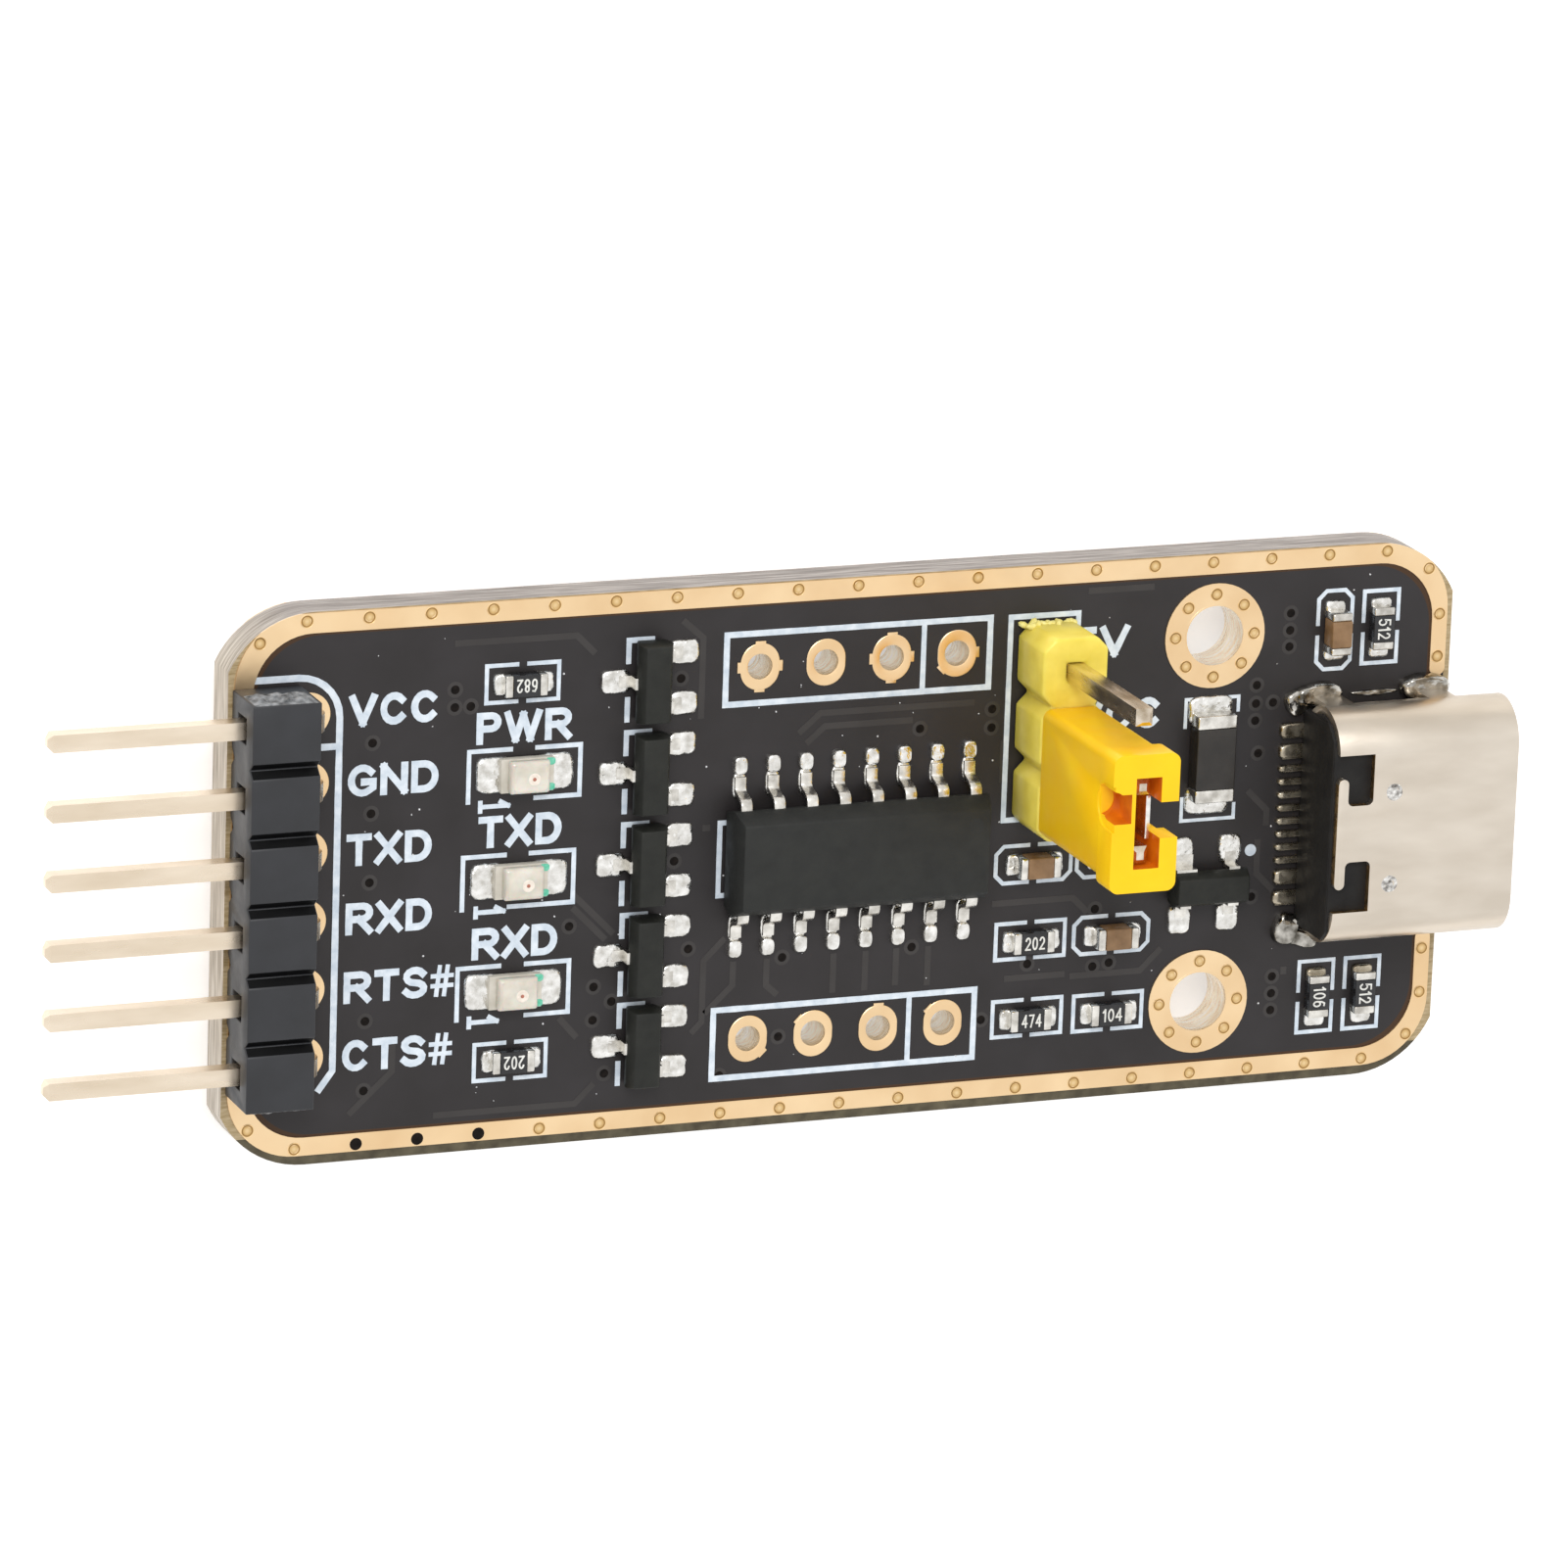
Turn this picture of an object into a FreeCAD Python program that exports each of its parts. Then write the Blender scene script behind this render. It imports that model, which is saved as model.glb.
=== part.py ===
import FreeCAD, Part
import math
import os
import re
import Sketcher
from FreeCAD import Placement, Rotation, Vector

# USB to serial adapter board with a slide-off jumper cap, lying face up on its pin tails.
# Sizes are in millimetres. Places on the board are counted from the first spare hole of the
# back row: x to the right along the board, y to the back, z up from the board's upper face.

SIZES = {
    # Drilling grid
    "grid_pitch": 2.54,
    "row_drop": 13.97,
    "mount_column": 17.78,
    # Laminate: its edges lie outside the pin column, the hole rows and the receptacle's rear
    "edge_left": 3.0,
    "edge_back": 3.1,
    "edge_front": 3.36,
    "usb_overhang": 1.488,
    "board_thick": 1.6,
    "corner_radius": 3.5,
    "corner_run_out": 0.33,
    "skin_thick": 0.05,
    "tail_length": 1.3,
    # Gold border ring
    "margin_left": 0.22,
    "margin_right": 0.2,
    "margin_front": 0.29,
    "margin_back": 0.04,
    "band_left": 0.68,
    "band_right": 0.61,
    "band_front": 0.74,
    "band_back": 0.73,
    "ring_outer_radius": 2.6,
    "ring_inner_radius": 2.2,
    "ring_opening": 10.4,
    # Plated holes
    "plating": 0.05,
    "mount_hole_radius": 1.125,
    "mount_ring_radius": 1.975,
    "spare_hole_radius": 0.49,
    "spare_pad_width": 1.52,
    "spare_pad_length": 1.75,
    "spare_pad_corner": 0.42,
    "pin_hole_radius": 0.5,
    "pin_pad_radius": 0.81,
    # Solder cones round the pin tails
    "cone_radius": 0.78,
    "cone_draft": 18.0,
    "cone_height": 0.85,
    # Square pins and the right-angle header
    "pin_square": 0.64,
    "tip_bevel": 0.18,
    "bend_inner": 0.2,
    "header_column": -17.0,
    "header_shift": -0.012,
    "header_reach": 10.006,
    "header_axis": 1.2,
    "housing_gap": 0.01,
    "housing_depth": 2.53,
    "housing_height": 2.4,
    "housing_trim": 0.15,
    "notch_depth": 0.34,
    "notch_half": 0.3,
    "recess_square": 0.96,
    "recess_depth": 0.35,
    "pin_clearance": 0.01,
    # Upright jumper header
    "jumper_column": 11.24,
    "jumper_first": -0.28,
    "jumper_tip": 9.0,
    "block_width": 2.54,
    "block_height": 2.5,
    "block_chamfer": 0.45,
    # Jumper cap and its contact clip
    "cap_lift": 0.03,
    "cap_shift": 0.03,
    "cap_top": 9.25,
    "collar_base": 8.0,
    "collar_width": 2.55,
    "collar_length": 5.1,
    "cap_left": 1.25,
    "cap_right": 1.0,
    "cap_back": 2.5,
    "cap_front": 2.25,
    "cap_corner": 0.35,
    "slot_left": 0.36,
    "slot_right": 0.62,
    "slot_end": 1.68,
    "window_shift": 0.085,
    "window_width": 1.33,
    "window_depth": 3.0,
    "scoop_shift": 0.68,
    "scoop_radius": 0.56,
    "clip_fit": 0.04,
    "clip_thick": 0.18,
    "clip_width": 3.2,
    "clip_foot": 3.2,
    "clip_shoulder": 7.4,
    "clip_top": 8.5,
    "clip_tongue": 1.6,
    # Receptacle shell
    "usb_rear": 21.6,
    "usb_length": 7.188,
    "usb_width": 8.94,
    "usb_height": 3.16,
    "usb_sheet": 0.3,
    "hook_outer": 2.99,
    "hook_inner": 1.07,
    "hook_neck": 2.1,
    "hook_end": 1.4,
    "hook_step": 0.4,
    "leg_thick": 0.3,
    "leg_length": 1.1,
    "leg_depth": 1.2,
    "leg_rear": 0.7,
    "leg_front": 4.8,
    "leg_slot_gap": 0.15,
    "blob_length": 2.0,
    "blob_width": 0.4,
    "blob_height": 0.7,
    # Receptacle core and contacts
    "core_back": 0.1,
    "core_length": 2.4,
    "tongue_width": 6.69,
    "tongue_thick": 0.7,
    "tongue_recess": 0.6,
    "contact_pitch": 0.5,
    "contact_width": 0.26,
    "contact_thick": 0.05,
    "contact_length": 3.6,
    "usb_lead_length": 0.85,
    "usb_lead_thick": 0.12,
    "usb_lead_width": 0.25,
    "usb_wide_lead": 0.55,
    "usb_wide_near": 2.4,
    "usb_wide_far": 3.2,
    # Bridge chip
    "chip_x": 3.79,
    "chip_shift": -0.075,
    "chip_length": 9.9,
    "chip_width": 3.9,
    "chip_stand": 0.1,
    "chip_height": 1.5,
    "chip_bevel": 0.18,
    "chip_span": 6.05,
    "chip_pitch": 1.27,
    "chip_lead_width": 0.41,
    # Small transistors and the surge array
    "small_x": -4.23,
    "small_inset": 0.175,
    "small_length": 2.95,
    "small_width": 1.3,
    "small_height": 0.95,
    "small_stand": 0.05,
    "small_bevel": 0.12,
    "small_span": 2.4,
    "small_lead_offset": 0.95,
    "small_lead_width": 0.42,
    "small_wide_lead": 0.8,
    "array_x": 17.8,
    "array_share": 0.675,
    "lead_thick": 0.15,
    "lead_foot": 0.45,
    # Resettable fuse
    "fuse_x": 17.74,
    "fuse_share": 0.3221,
    "fuse_length": 3.3,
    "fuse_width": 1.55,
    "fuse_height": 0.75,
    "fuse_end": 0.5,
    # Light-emitting diodes
    "lamp_length": 2.0,
    "lamp_width": 1.25,
    "lamp_base": 0.35,
    "lens_length": 1.5,
    "lens_width": 1.2,
    "lens_height": 0.42,
    "lens_round": 0.2,
    # Chip resistors and capacitors
    "chip_part_length": 1.6,
    "chip_part_width": 0.8,
    "chip_part_end": 0.3,
    "resistor_height": 0.45,
    "capacitor_height": 0.78,
    # Solder pads of the surface parts
    "part_pad_length": 0.95,
    "part_pad_width": 0.95,
    "part_pad_middle": 0.95,
    "lamp_pad_length": 1.35,
    "lamp_pad_width": 1.35,
    "lamp_pad_middle": 1.18,
    "fuse_pad_length": 1.1,
    "fuse_pad_width": 1.75,
    "fuse_pad_middle": 1.7,
    "chip_pad_length": 1.6,
    "chip_pad_width": 0.6,
    "chip_pad_middle": 2.98,
    "small_pad_length": 1.1,
    "small_pad_width": 0.88,
    "small_pad_middle": 1.3,
    "usb_pad_length": 1.2,
    "usb_pad_out": 0.95,
}

# Surface parts as (x, share of the way from the back row to the front row, lies across)
RESISTORS = [
    (-9.02, 0.0, False),
    (-9.13, 1.002, False),
    (10.97, 0.793, False),
    (10.96, 1.005, False),
    (14.17, 1.007, False),
    (24.37, 0.004, True),
    (22.5, 1.005, True),
    (24.37, 1.005, True),
]
CAPACITORS = [
    (10.97, 0.583, False),
    (14.18, 0.583, False),
    (14.18, 0.794, False),
    (22.55, 0.006, True),
]
LAMPS = [("power", -8.88, 0.238), ("send", -9.0, 0.52), ("receive", -9.12, 0.814)]

SPARE_COUNT = 4
HEADER_COUNT = 6
JUMPER_COUNT = 3
TRANSISTOR_COUNT = 5
CHIP_LEADS = 8
SMALL_SIDES = 12
NARROW_CONTACTS = 8
TONGUE_CONTACTS = 12

# Heights of the two board faces, the board's edges, its middle line and the model's origin
BOARD_TOP = "(tail_length + board_thick)"
UNDERSIDE = "(0 - board_thick)"
USB_MOUTH = "(usb_rear + usb_length)"
LEFT = "(header_column - edge_left)"
RIGHT = f"({USB_MOUTH} - usb_overhang)"
FRONT = "(0 - row_drop - edge_front)"
BACK = "edge_back"
MIDLINE = "(0 - row_drop / 2)"
GRID_X = f"((header_reach - header_column - {USB_MOUTH}) / 2)"
GRID_Y = "((row_drop + edge_front - edge_back) / 2)"

doc = FreeCAD.newDocument("SerialAdapter")
sheet = doc.addObject("Spreadsheet::Sheet", "Sizes")
for row, (name, number) in enumerate(SIZES.items(), start=1):
    sheet.set(f"A{row}", name)
    sheet.set(f"B{row}", str(number))
    sheet.setAlias(f"B{row}", name)
doc.recompute()


def in_sheet(text):
    """Point every size name in an expression at its cell."""
    return re.sub(r"[A-Za-z]\w*", lambda found: "Sizes." + found.group(), str(text))


def bind(thing, prop, text):
    """Tie a property of a feature to an expression of sizes."""
    thing.setExpression(prop, in_sheet(text))


def place(thing, x, y, z, turn=0):
    """Put a feature at a place counted from the first spare hole and the board's upper face."""
    thing.Placement = Placement(Vector(0, 0, 0), Rotation(Vector(0, 0, 1), turn))
    bind(thing, "Placement.Base.x", f"{GRID_X} + {x}")
    bind(thing, "Placement.Base.y", f"{GRID_Y} + {y}")
    bind(thing, "Placement.Base.z", f"{BOARD_TOP} + {z}")
    return thing


def box(name, x, y, z, length, width, height):
    """Block centred on x and y that stands on z."""
    block = doc.addObject("Part::Box", name)
    bind(block, "Length", length)
    bind(block, "Width", width)
    bind(block, "Height", height)
    return place(block, f"{x} - ({length}) / 2", f"{y} - ({width}) / 2", z)


def cylinder(name, x, y, z, radius, height):
    """Upright cylinder that stands on z."""
    post = doc.addObject("Part::Cylinder", name)
    bind(post, "Radius", radius)
    bind(post, "Height", height)
    return place(post, x, y, z)


def joined(name, pieces):
    """One solid out of pieces that overlap or touch."""
    whole = doc.addObject("Part::MultiFuse", name)
    whole.Shapes = pieces
    return whole


def group(name, pieces):
    """Like pieces kept together as separate solids."""
    whole = doc.addObject("Part::Compound", name)
    whole.Links = pieces
    return whole


def less(name, base, tool):
    """Base with the tool cut out of it."""
    rest = doc.addObject("Part::Cut", name)
    rest.Base = base
    rest.Tool = tool
    return rest


def plane_of(body, role):
    """Origin plane of a body."""
    return [item for item in body.Origin.OriginFeatures if item.Role == role][0]


def outline(body, role, corners):
    """Closed sketch of straight edges, each corner tied to the sizes."""
    sketch = body.newObject("Sketcher::SketchObject", body.Name + "_outline")
    sketch.AttachmentSupport = (plane_of(body, role), [""])
    sketch.MapMode = "FlatFace"
    count = len(corners)
    rough = [Vector(1, 0, 0)]
    for number in range(1, count):
        rough.append(Rotation(Vector(0, 0, 1), 360 * number / count).multVec(rough[0]))
    for number in range(count):
        sketch.addGeometry(Part.LineSegment(rough[number], rough[(number + 1) % count]), False)
    for number in range(count):
        sketch.addConstraint(Sketcher.Constraint("Coincident", number, 2, (number + 1) % count, 1))
    for number, (across, along) in enumerate(corners):
        for kind, text in (("DistanceX", across), ("DistanceY", along)):
            tie = sketch.addConstraint(Sketcher.Constraint(kind, -1, 1, number, 1, 1.0))
            bind(sketch, f"Constraints[{tie}]", text)
    return sketch


def pad_of(body, sketch, length, backwards=False):
    """Pad a sketch of a body."""
    pad = body.newObject("PartDesign::Pad", body.Name + "_pad")
    pad.Profile = sketch
    pad.Reversed = backwards
    bind(pad, "Length", length)
    return pad


def many_sided(radius):
    """Corners of the many-sided outline that stands for a small circle."""
    corners = []
    for number in range(SMALL_SIDES):
        angle = 2 * math.pi * (number + 0.5) / SMALL_SIDES
        corners.append((f"{radius} * {math.cos(angle):.6f}", f"{radius} * {math.sin(angle):.6f}"))
    return corners


def prism(name, facing, corners, length, x, y, z, turn=0):
    """Straight-sided body: outline seen along x, y or z, padded the positive way."""
    role = {"x": "YZ_Plane", "y": "XZ_Plane", "z": "XY_Plane"}[facing]
    body = doc.addObject("PartDesign::Body", name)
    pad_of(body, outline(body, role, corners), length, facing == "y")
    return place(body, x, y, z, turn)


def row_of(body, axis, span, count):
    """Repeat a body's last feature along one of its axes."""
    doc.recompute()
    single = body.Tip
    pattern = body.newObject("PartDesign::LinearPattern", body.Name + "_row")
    pattern.Originals = [single]
    line = [item for item in body.Origin.OriginFeatures if item.Role == axis][0]
    pattern.Direction = (line, [""])
    bind(pattern, "Length", span)
    pattern.Occurrences = count
    body.Tip = pattern
    return body


def edges_where(feature, test):
    """Names of the edges whose two ends both pass a test."""
    doc.recompute()
    found = []
    for number, edge in enumerate(feature.Shape.Edges, start=1):
        if all(test(vertex.Point) for vertex in edge.Vertexes):
            found.append(f"Edge{number}")
    return found


def upright_edges(feature):
    """Names of the edges parallel to z."""
    doc.recompute()
    found = []
    for number, edge in enumerate(feature.Shape.Edges, start=1):
        ends = [vertex.Point for vertex in edge.Vertexes]
        if len(ends) == 2 and abs(ends[0].z - ends[1].z) > 1e-6:
            if abs(ends[0].x - ends[1].x) < 1e-6 and abs(ends[0].y - ends[1].y) < 1e-6:
                found.append(f"Edge{number}")
    return found


def rounded(body, names, radius):
    """Round named edges of a body's last feature."""
    base = body.Tip
    fillet = body.newObject("PartDesign::Fillet", f"{body.Name}_rounding")
    fillet.Base = (base, names)
    bind(fillet, "Radius", radius)
    body.Tip = fillet
    return body


def bevelled(body, names, size):
    """Bevel named edges of a body's last feature."""
    base = body.Tip
    chamfer = body.newObject("PartDesign::Chamfer", f"{body.Name}_bevel")
    chamfer.Base = (base, names)
    bind(chamfer, "Size", size)
    body.Tip = chamfer
    return body


def rounded_plate(name, left, right, front, back, z, thick, radius):
    """Flat plate with four rounded upright edges."""
    corners = [(left, front), (right, front), (right, back), (left, back)]
    plate = prism(name, "z", corners, thick, "0", "0", z)
    return rounded(plate, upright_edges(plate.Tip), radius)


def stadium(name, width, height, length, x, y, z):
    """Bar with round sides along x, centred on y and z."""
    body = doc.addObject("PartDesign::Body", name)
    sketch = body.newObject("Sketcher::SketchObject", name + "_outline")
    sketch.AttachmentSupport = (plane_of(body, "YZ_Plane"), [""])
    sketch.MapMode = "FlatFace"
    quarter = math.pi / 2
    right = Part.ArcOfCircle(Part.Circle(Vector(3, 0, 0), Vector(0, 0, 1), 1), -quarter, quarter)
    left = Part.ArcOfCircle(Part.Circle(Vector(-3, 0, 0), Vector(0, 0, 1), 1), quarter, -quarter)
    sketch.addGeometry(right, False)
    sketch.addGeometry(left, False)
    sketch.addGeometry(Part.LineSegment(Vector(3, 1, 0), Vector(-3, 1, 0)), False)
    sketch.addGeometry(Part.LineSegment(Vector(-3, -1, 0), Vector(3, -1, 0)), False)
    sketch.addConstraint(Sketcher.Constraint("Tangent", 0, 2, 2, 1))
    sketch.addConstraint(Sketcher.Constraint("Tangent", 2, 2, 1, 1))
    sketch.addConstraint(Sketcher.Constraint("Tangent", 1, 2, 3, 1))
    sketch.addConstraint(Sketcher.Constraint("Tangent", 3, 2, 0, 1))
    sketch.addConstraint(Sketcher.Constraint("Horizontal", 2))
    sketch.addConstraint(Sketcher.Constraint("PointOnObject", 0, 3, -1))
    sketch.addConstraint(Sketcher.Constraint("Symmetric", 0, 3, 1, 3, -1, 1))
    tie = sketch.addConstraint(Sketcher.Constraint("Radius", 0, 1.0))
    bind(sketch, f"Constraints[{tie}]", f"({height}) / 2")
    tie = sketch.addConstraint(Sketcher.Constraint("DistanceX", 1, 3, 0, 3, 6.0))
    bind(sketch, f"Constraints[{tie}]", f"({width}) - ({height})")
    pad_of(body, sketch, length)
    return place(body, x, y, z)


# Laminate: a rounded blank trimmed on its two short edges, with every hole through it

def board_form(name, z, thick):
    """Board outline: the corner arcs run out past the trimmed short edges."""
    blank = rounded_plate(name + "_blank", f"{LEFT} - corner_run_out",
                          f"{RIGHT} + corner_run_out", FRONT, BACK, z, thick,
                          "corner_radius")
    trim = box(name + "_trim", f"({LEFT} + {RIGHT}) / 2", f"({FRONT} + {BACK}) / 2", z,
               f"{RIGHT} - {LEFT}", f"{BACK} - {FRONT}", thick)
    form = doc.addObject("Part::Common", name)
    form.Base = blank
    form.Tool = trim
    return form


def header_y(number):
    """Distance of a header pin to the back."""
    steps = (HEADER_COUNT - 1) / 2 - number
    return f"({MIDLINE} + header_shift + {steps} * grid_pitch)"


def jumper_y(number):
    """Distance of a jumper pin to the back."""
    return f"(jumper_first - {number} * grid_pitch)"


MOUNTS = [("mount_column", "0"), ("mount_column", "(0 - row_drop)")]
SPARE_BACK = [(f"({k} * grid_pitch)", "0") for k in range(SPARE_COUNT)]
SPARE_FRONT = [(f"({k} * grid_pitch)", "(0 - row_drop)") for k in range(SPARE_COUNT)]
HEADER_PINS = [("header_column", header_y(k)) for k in range(HEADER_COUNT)]
JUMPER_PINS = [("jumper_column", jumper_y(k)) for k in range(JUMPER_COUNT)]

LEG_MIDDLE = "(usb_width / 2 - leg_thick / 2)"
LEGS = []
for along in ("leg_rear", "leg_front"):
    for side in ("+", "-"):
        LEGS.append((f"(usb_rear + {along})", f"({MIDLINE} {side} {LEG_MIDDLE})", side))

holes = []
for number, (x, y) in enumerate(MOUNTS):
    holes.append(cylinder(f"mount_bore_{number}", x, y, UNDERSIDE,
                          "mount_hole_radius + plating", "board_thick"))
for number, (x, y) in enumerate(SPARE_BACK + SPARE_FRONT):
    holes.append(cylinder(f"spare_bore_{number}", x, y, UNDERSIDE, "spare_hole_radius",
                          "board_thick"))
for number, (x, y) in enumerate(HEADER_PINS + JUMPER_PINS):
    holes.append(prism(f"pin_bore_{number}", "z", many_sided("pin_hole_radius"), "board_thick",
                       x, y, UNDERSIDE))
for number, (x, y, side) in enumerate(LEGS):
    holes.append(box(f"leg_slot_{number}", x, y, UNDERSIDE, "leg_length + 2 * leg_slot_gap",
                     "leg_thick + 2 * leg_slot_gap", "board_thick"))
board = less("board", board_form("board_outline", UNDERSIDE, "board_thick"),
             joined("board_holes", holes))


# Gold border: one band on each face, open behind the receptacle

def border(name, z):
    """Ring inside the board's edge with two round-ended legs beside the receptacle."""
    outer = rounded_plate(name + "_outer", f"{LEFT} + margin_left",
                          f"{RIGHT} - margin_right", f"{FRONT} + margin_front",
                          f"{BACK} - margin_back", z, "skin_thick", "ring_outer_radius")
    inner = rounded_plate(name + "_inner", f"{LEFT} + margin_left + band_left",
                          f"{RIGHT} - margin_right - band_right",
                          f"{FRONT} + margin_front + band_front",
                          f"{BACK} - margin_back - band_back", z, "skin_thick",
                          "ring_inner_radius")
    leg_x = f"({RIGHT} - margin_right - band_right / 2)"
    gate = box(name + "_gate", leg_x, MIDLINE, z, "2 * band_right", "ring_opening",
               "skin_thick")
    band = less(name + "_band", outer, joined(name + "_inside", [inner, gate]))
    ends = [
        cylinder(name + "_end_a", leg_x, f"{MIDLINE} + ring_opening / 2", z,
                 "band_right / 2", "skin_thick"),
        cylinder(name + "_end_b", leg_x, f"{MIDLINE} - ring_opening / 2", z,
                 "band_right / 2", "skin_thick"),
    ]
    whole = joined(name + "_whole", [band] + ends)
    ring = doc.addObject("Part::Common", name)
    ring.Base = whole
    ring.Tool = board_form(name + "_limit", z, "skin_thick")
    return ring


border_top = border("border_top", "0")
border_bottom = border("border_bottom", f"{UNDERSIDE} - skin_thick")


# Plated mounting holes: a land on each face joined by the barrel that lines the hole

def mount_ring(name, x, y):
    """Two round lands and a barrel with one bore through them."""
    lands = [
        cylinder(name + "_top", x, y, "0", "mount_ring_radius", "skin_thick"),
        cylinder(name + "_under", x, y, f"{UNDERSIDE} - skin_thick", "mount_ring_radius",
                 "skin_thick"),
    ]
    barrel = cylinder(name + "_barrel", x, y, UNDERSIDE, "mount_hole_radius + plating",
                      "board_thick")
    bore = cylinder(name + "_bore", x, y, f"{UNDERSIDE} - skin_thick", "mount_hole_radius",
                    "board_thick + 2 * skin_thick")
    return less(name, joined(name + "_solid", lands + [barrel]), bore)


mount_rings = [mount_ring(f"mount_ring_{number}", x, y)
               for number, (x, y) in enumerate(MOUNTS, start=1)]


# Lands on the upper face: oblong ones round the spare holes, round ones round the pins

def clipped(half_width, half_length, corner):
    """Corners of a rectangle with its four corners clipped."""
    short = f"({half_width} - {corner})"
    long = f"({half_length} - {corner})"
    return [
        (short, f"0 - {half_length}"),
        (half_width, f"0 - {long}"),
        (half_width, long),
        (short, half_length),
        (f"0 - {short}", half_length),
        (f"0 - {half_width}", long),
        (f"0 - {half_width}", f"0 - {long}"),
        (f"0 - {short}", f"0 - {half_length}"),
    ]


def spare_land(name, x, y):
    """Land of a spare hole, a little longer than wide."""
    corners = clipped("spare_pad_width / 2", "spare_pad_length / 2", "spare_pad_corner")
    land = prism(name + "_land", "z", corners, "skin_thick", x, y, "0")
    return less(name, land, cylinder(name + "_hole", x, y, "0", "spare_hole_radius",
                                     "skin_thick"))


def pin_land(name, x, y):
    """Land of a pin."""
    land = prism(name + "_land", "z", many_sided("pin_pad_radius"), "skin_thick", x, y, "0")
    return less(name, land, prism(name + "_hole", "z", many_sided("pin_hole_radius"),
                                  "skin_thick", x, y, "0"))


def lands(name, make, places):
    """All the lands of one row."""
    return group(name, [make(f"{name}_{number}", x, y) for number, (x, y) in enumerate(places)])


spare_pads_back = lands("spare_pads_back", spare_land, SPARE_BACK)
spare_pads_front = lands("spare_pads_front", spare_land, SPARE_FRONT)
header_pads = lands("header_pads", pin_land, HEADER_PINS)
jumper_pads = lands("jumper_pads", pin_land, JUMPER_PINS)


def tail_solder(name, places):
    """Solder cones under the board, one round each pin tail."""
    cones = []
    for number, (x, y) in enumerate(places):
        cone = doc.addObject("PartDesign::Body", f"{name}_cone_{number}")
        sketch = outline(cone, "XY_Plane", many_sided("cone_radius"))
        pad = pad_of(cone, sketch, "cone_height", True)
        bind(pad, "TaperAngle", "0 - cone_draft")
        place(cone, x, y, UNDERSIDE)
        tail = box(f"{name}_tail_{number}", x, y, f"{UNDERSIDE} - cone_height", "pin_square",
                   "pin_square", "cone_height")
        cones.append(less(f"{name}_{number}", cone, tail))
    return group(name, cones)


header_solder = tail_solder("header_solder", HEADER_PINS)
jumper_solder = tail_solder("jumper_solder", JUMPER_PINS)


# Right-angle header: six bent square pins through one notched housing

HEADER_FACE = "(header_column - pin_square / 2 - housing_gap - housing_depth)"
housing_span = f"({HEADER_COUNT} * grid_pitch - 2 * housing_trim)"
housing_middle = f"({MIDLINE} + header_shift)"
housing_block = box("housing_block", f"({HEADER_FACE} + housing_depth / 2)", housing_middle,
                    "skin_thick", "housing_depth", housing_span, "housing_height")
notches = []
for name, foot, tip in (
        ("upper", "skin_thick + housing_height", "skin_thick + housing_height - notch_depth"),
        ("lower", "skin_thick", "skin_thick + notch_depth")):
    corners = [("0 - notch_half", foot), ("0", tip), ("notch_half", foot)]
    notch = prism(f"notch_{name}", "x", corners, "housing_depth", HEADER_FACE,
                  f"{header_y(0)} - grid_pitch / 2", "0")
    row_of(notch, "Y_Axis", f"{HEADER_COUNT - 2} * grid_pitch", HEADER_COUNT - 1)
    place(notch, HEADER_FACE, f"{header_y(HEADER_COUNT - 1)} + grid_pitch / 2", "0")
    notches.append(notch)
passages = []
for number, (x, y) in enumerate(HEADER_PINS):
    hole = "pin_square + 2 * pin_clearance"
    passages.append(box(f"passage_{number}", f"({HEADER_FACE} + housing_depth / 2)", y,
                        f"header_axis - ({hole}) / 2", "housing_depth", hole, hole))
    passages.append(box(f"recess_{number}", f"({HEADER_FACE} + recess_depth / 2)", y,
                        "header_axis - recess_square / 2", "recess_depth", "recess_square",
                        "recess_square"))
header_housing = less("header_housing", housing_block,
                      joined("housing_openings", notches + passages))


def bent_pin(name, x, y):
    """Square pin that runs out over the board's edge and turns down into its hole."""
    half = "pin_square / 2"
    low = f"{UNDERSIDE} - tail_length"
    corners = [
        ("0 - header_reach", f"header_axis - {half}"),
        (f"0 - {half}", f"header_axis - {half}"),
        (f"0 - {half}", low),
        (half, low),
        (half, f"header_axis + {half}"),
        ("0 - header_reach", f"header_axis + {half}"),
    ]
    pin = prism(name, "y", corners, "pin_square", x, f"({y} - {half})", "0")
    middle = SIZES["header_axis"]
    reach = SIZES["header_reach"]
    wide = SIZES["pin_square"]
    tail = SIZES["board_thick"] + SIZES["tail_length"]
    outer = edges_where(pin.Tip, lambda at: at.x > 0 and at.z > middle)
    rounded(pin, outer, "bend_inner + pin_square")
    inner = edges_where(pin.Tip, lambda at: abs(at.x + wide / 2) < 1e-3
                        and abs(at.z - middle + wide / 2) < 1e-3)
    rounded(pin, inner, "bend_inner")
    tip = edges_where(pin.Tip, lambda at: abs(at.x + reach) < 1e-3)
    foot = edges_where(pin.Tip, lambda at: abs(at.z + tail) < 1e-3)
    return bevelled(pin, tip + foot, "tip_bevel")


header_pins = [bent_pin(f"header_pin_{number}", x, y)
               for number, (x, y) in enumerate(HEADER_PINS, start=1)]


# Upright jumper header: three straight pins in a block of three joined octagons

BLOCK_TOP = "(skin_thick + block_height)"
half_block = "block_width / 2"
half_cell = "grid_pitch / 2"
octagon = clipped(half_block, half_cell, "block_chamfer")
cells = []
block_passages = []
for number, (x, y) in enumerate(JUMPER_PINS):
    cells.append(prism(f"block_cell_{number}", "z", octagon, "block_height", x, y, "skin_thick"))
    hole = "pin_square + 2 * pin_clearance"
    block_passages.append(box(f"block_passage_{number}", x, y, "skin_thick", hole, hole,
                              "block_height"))
jumper_block = less("jumper_block", joined("block_cells", cells),
                    joined("block_passages", block_passages))


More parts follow.
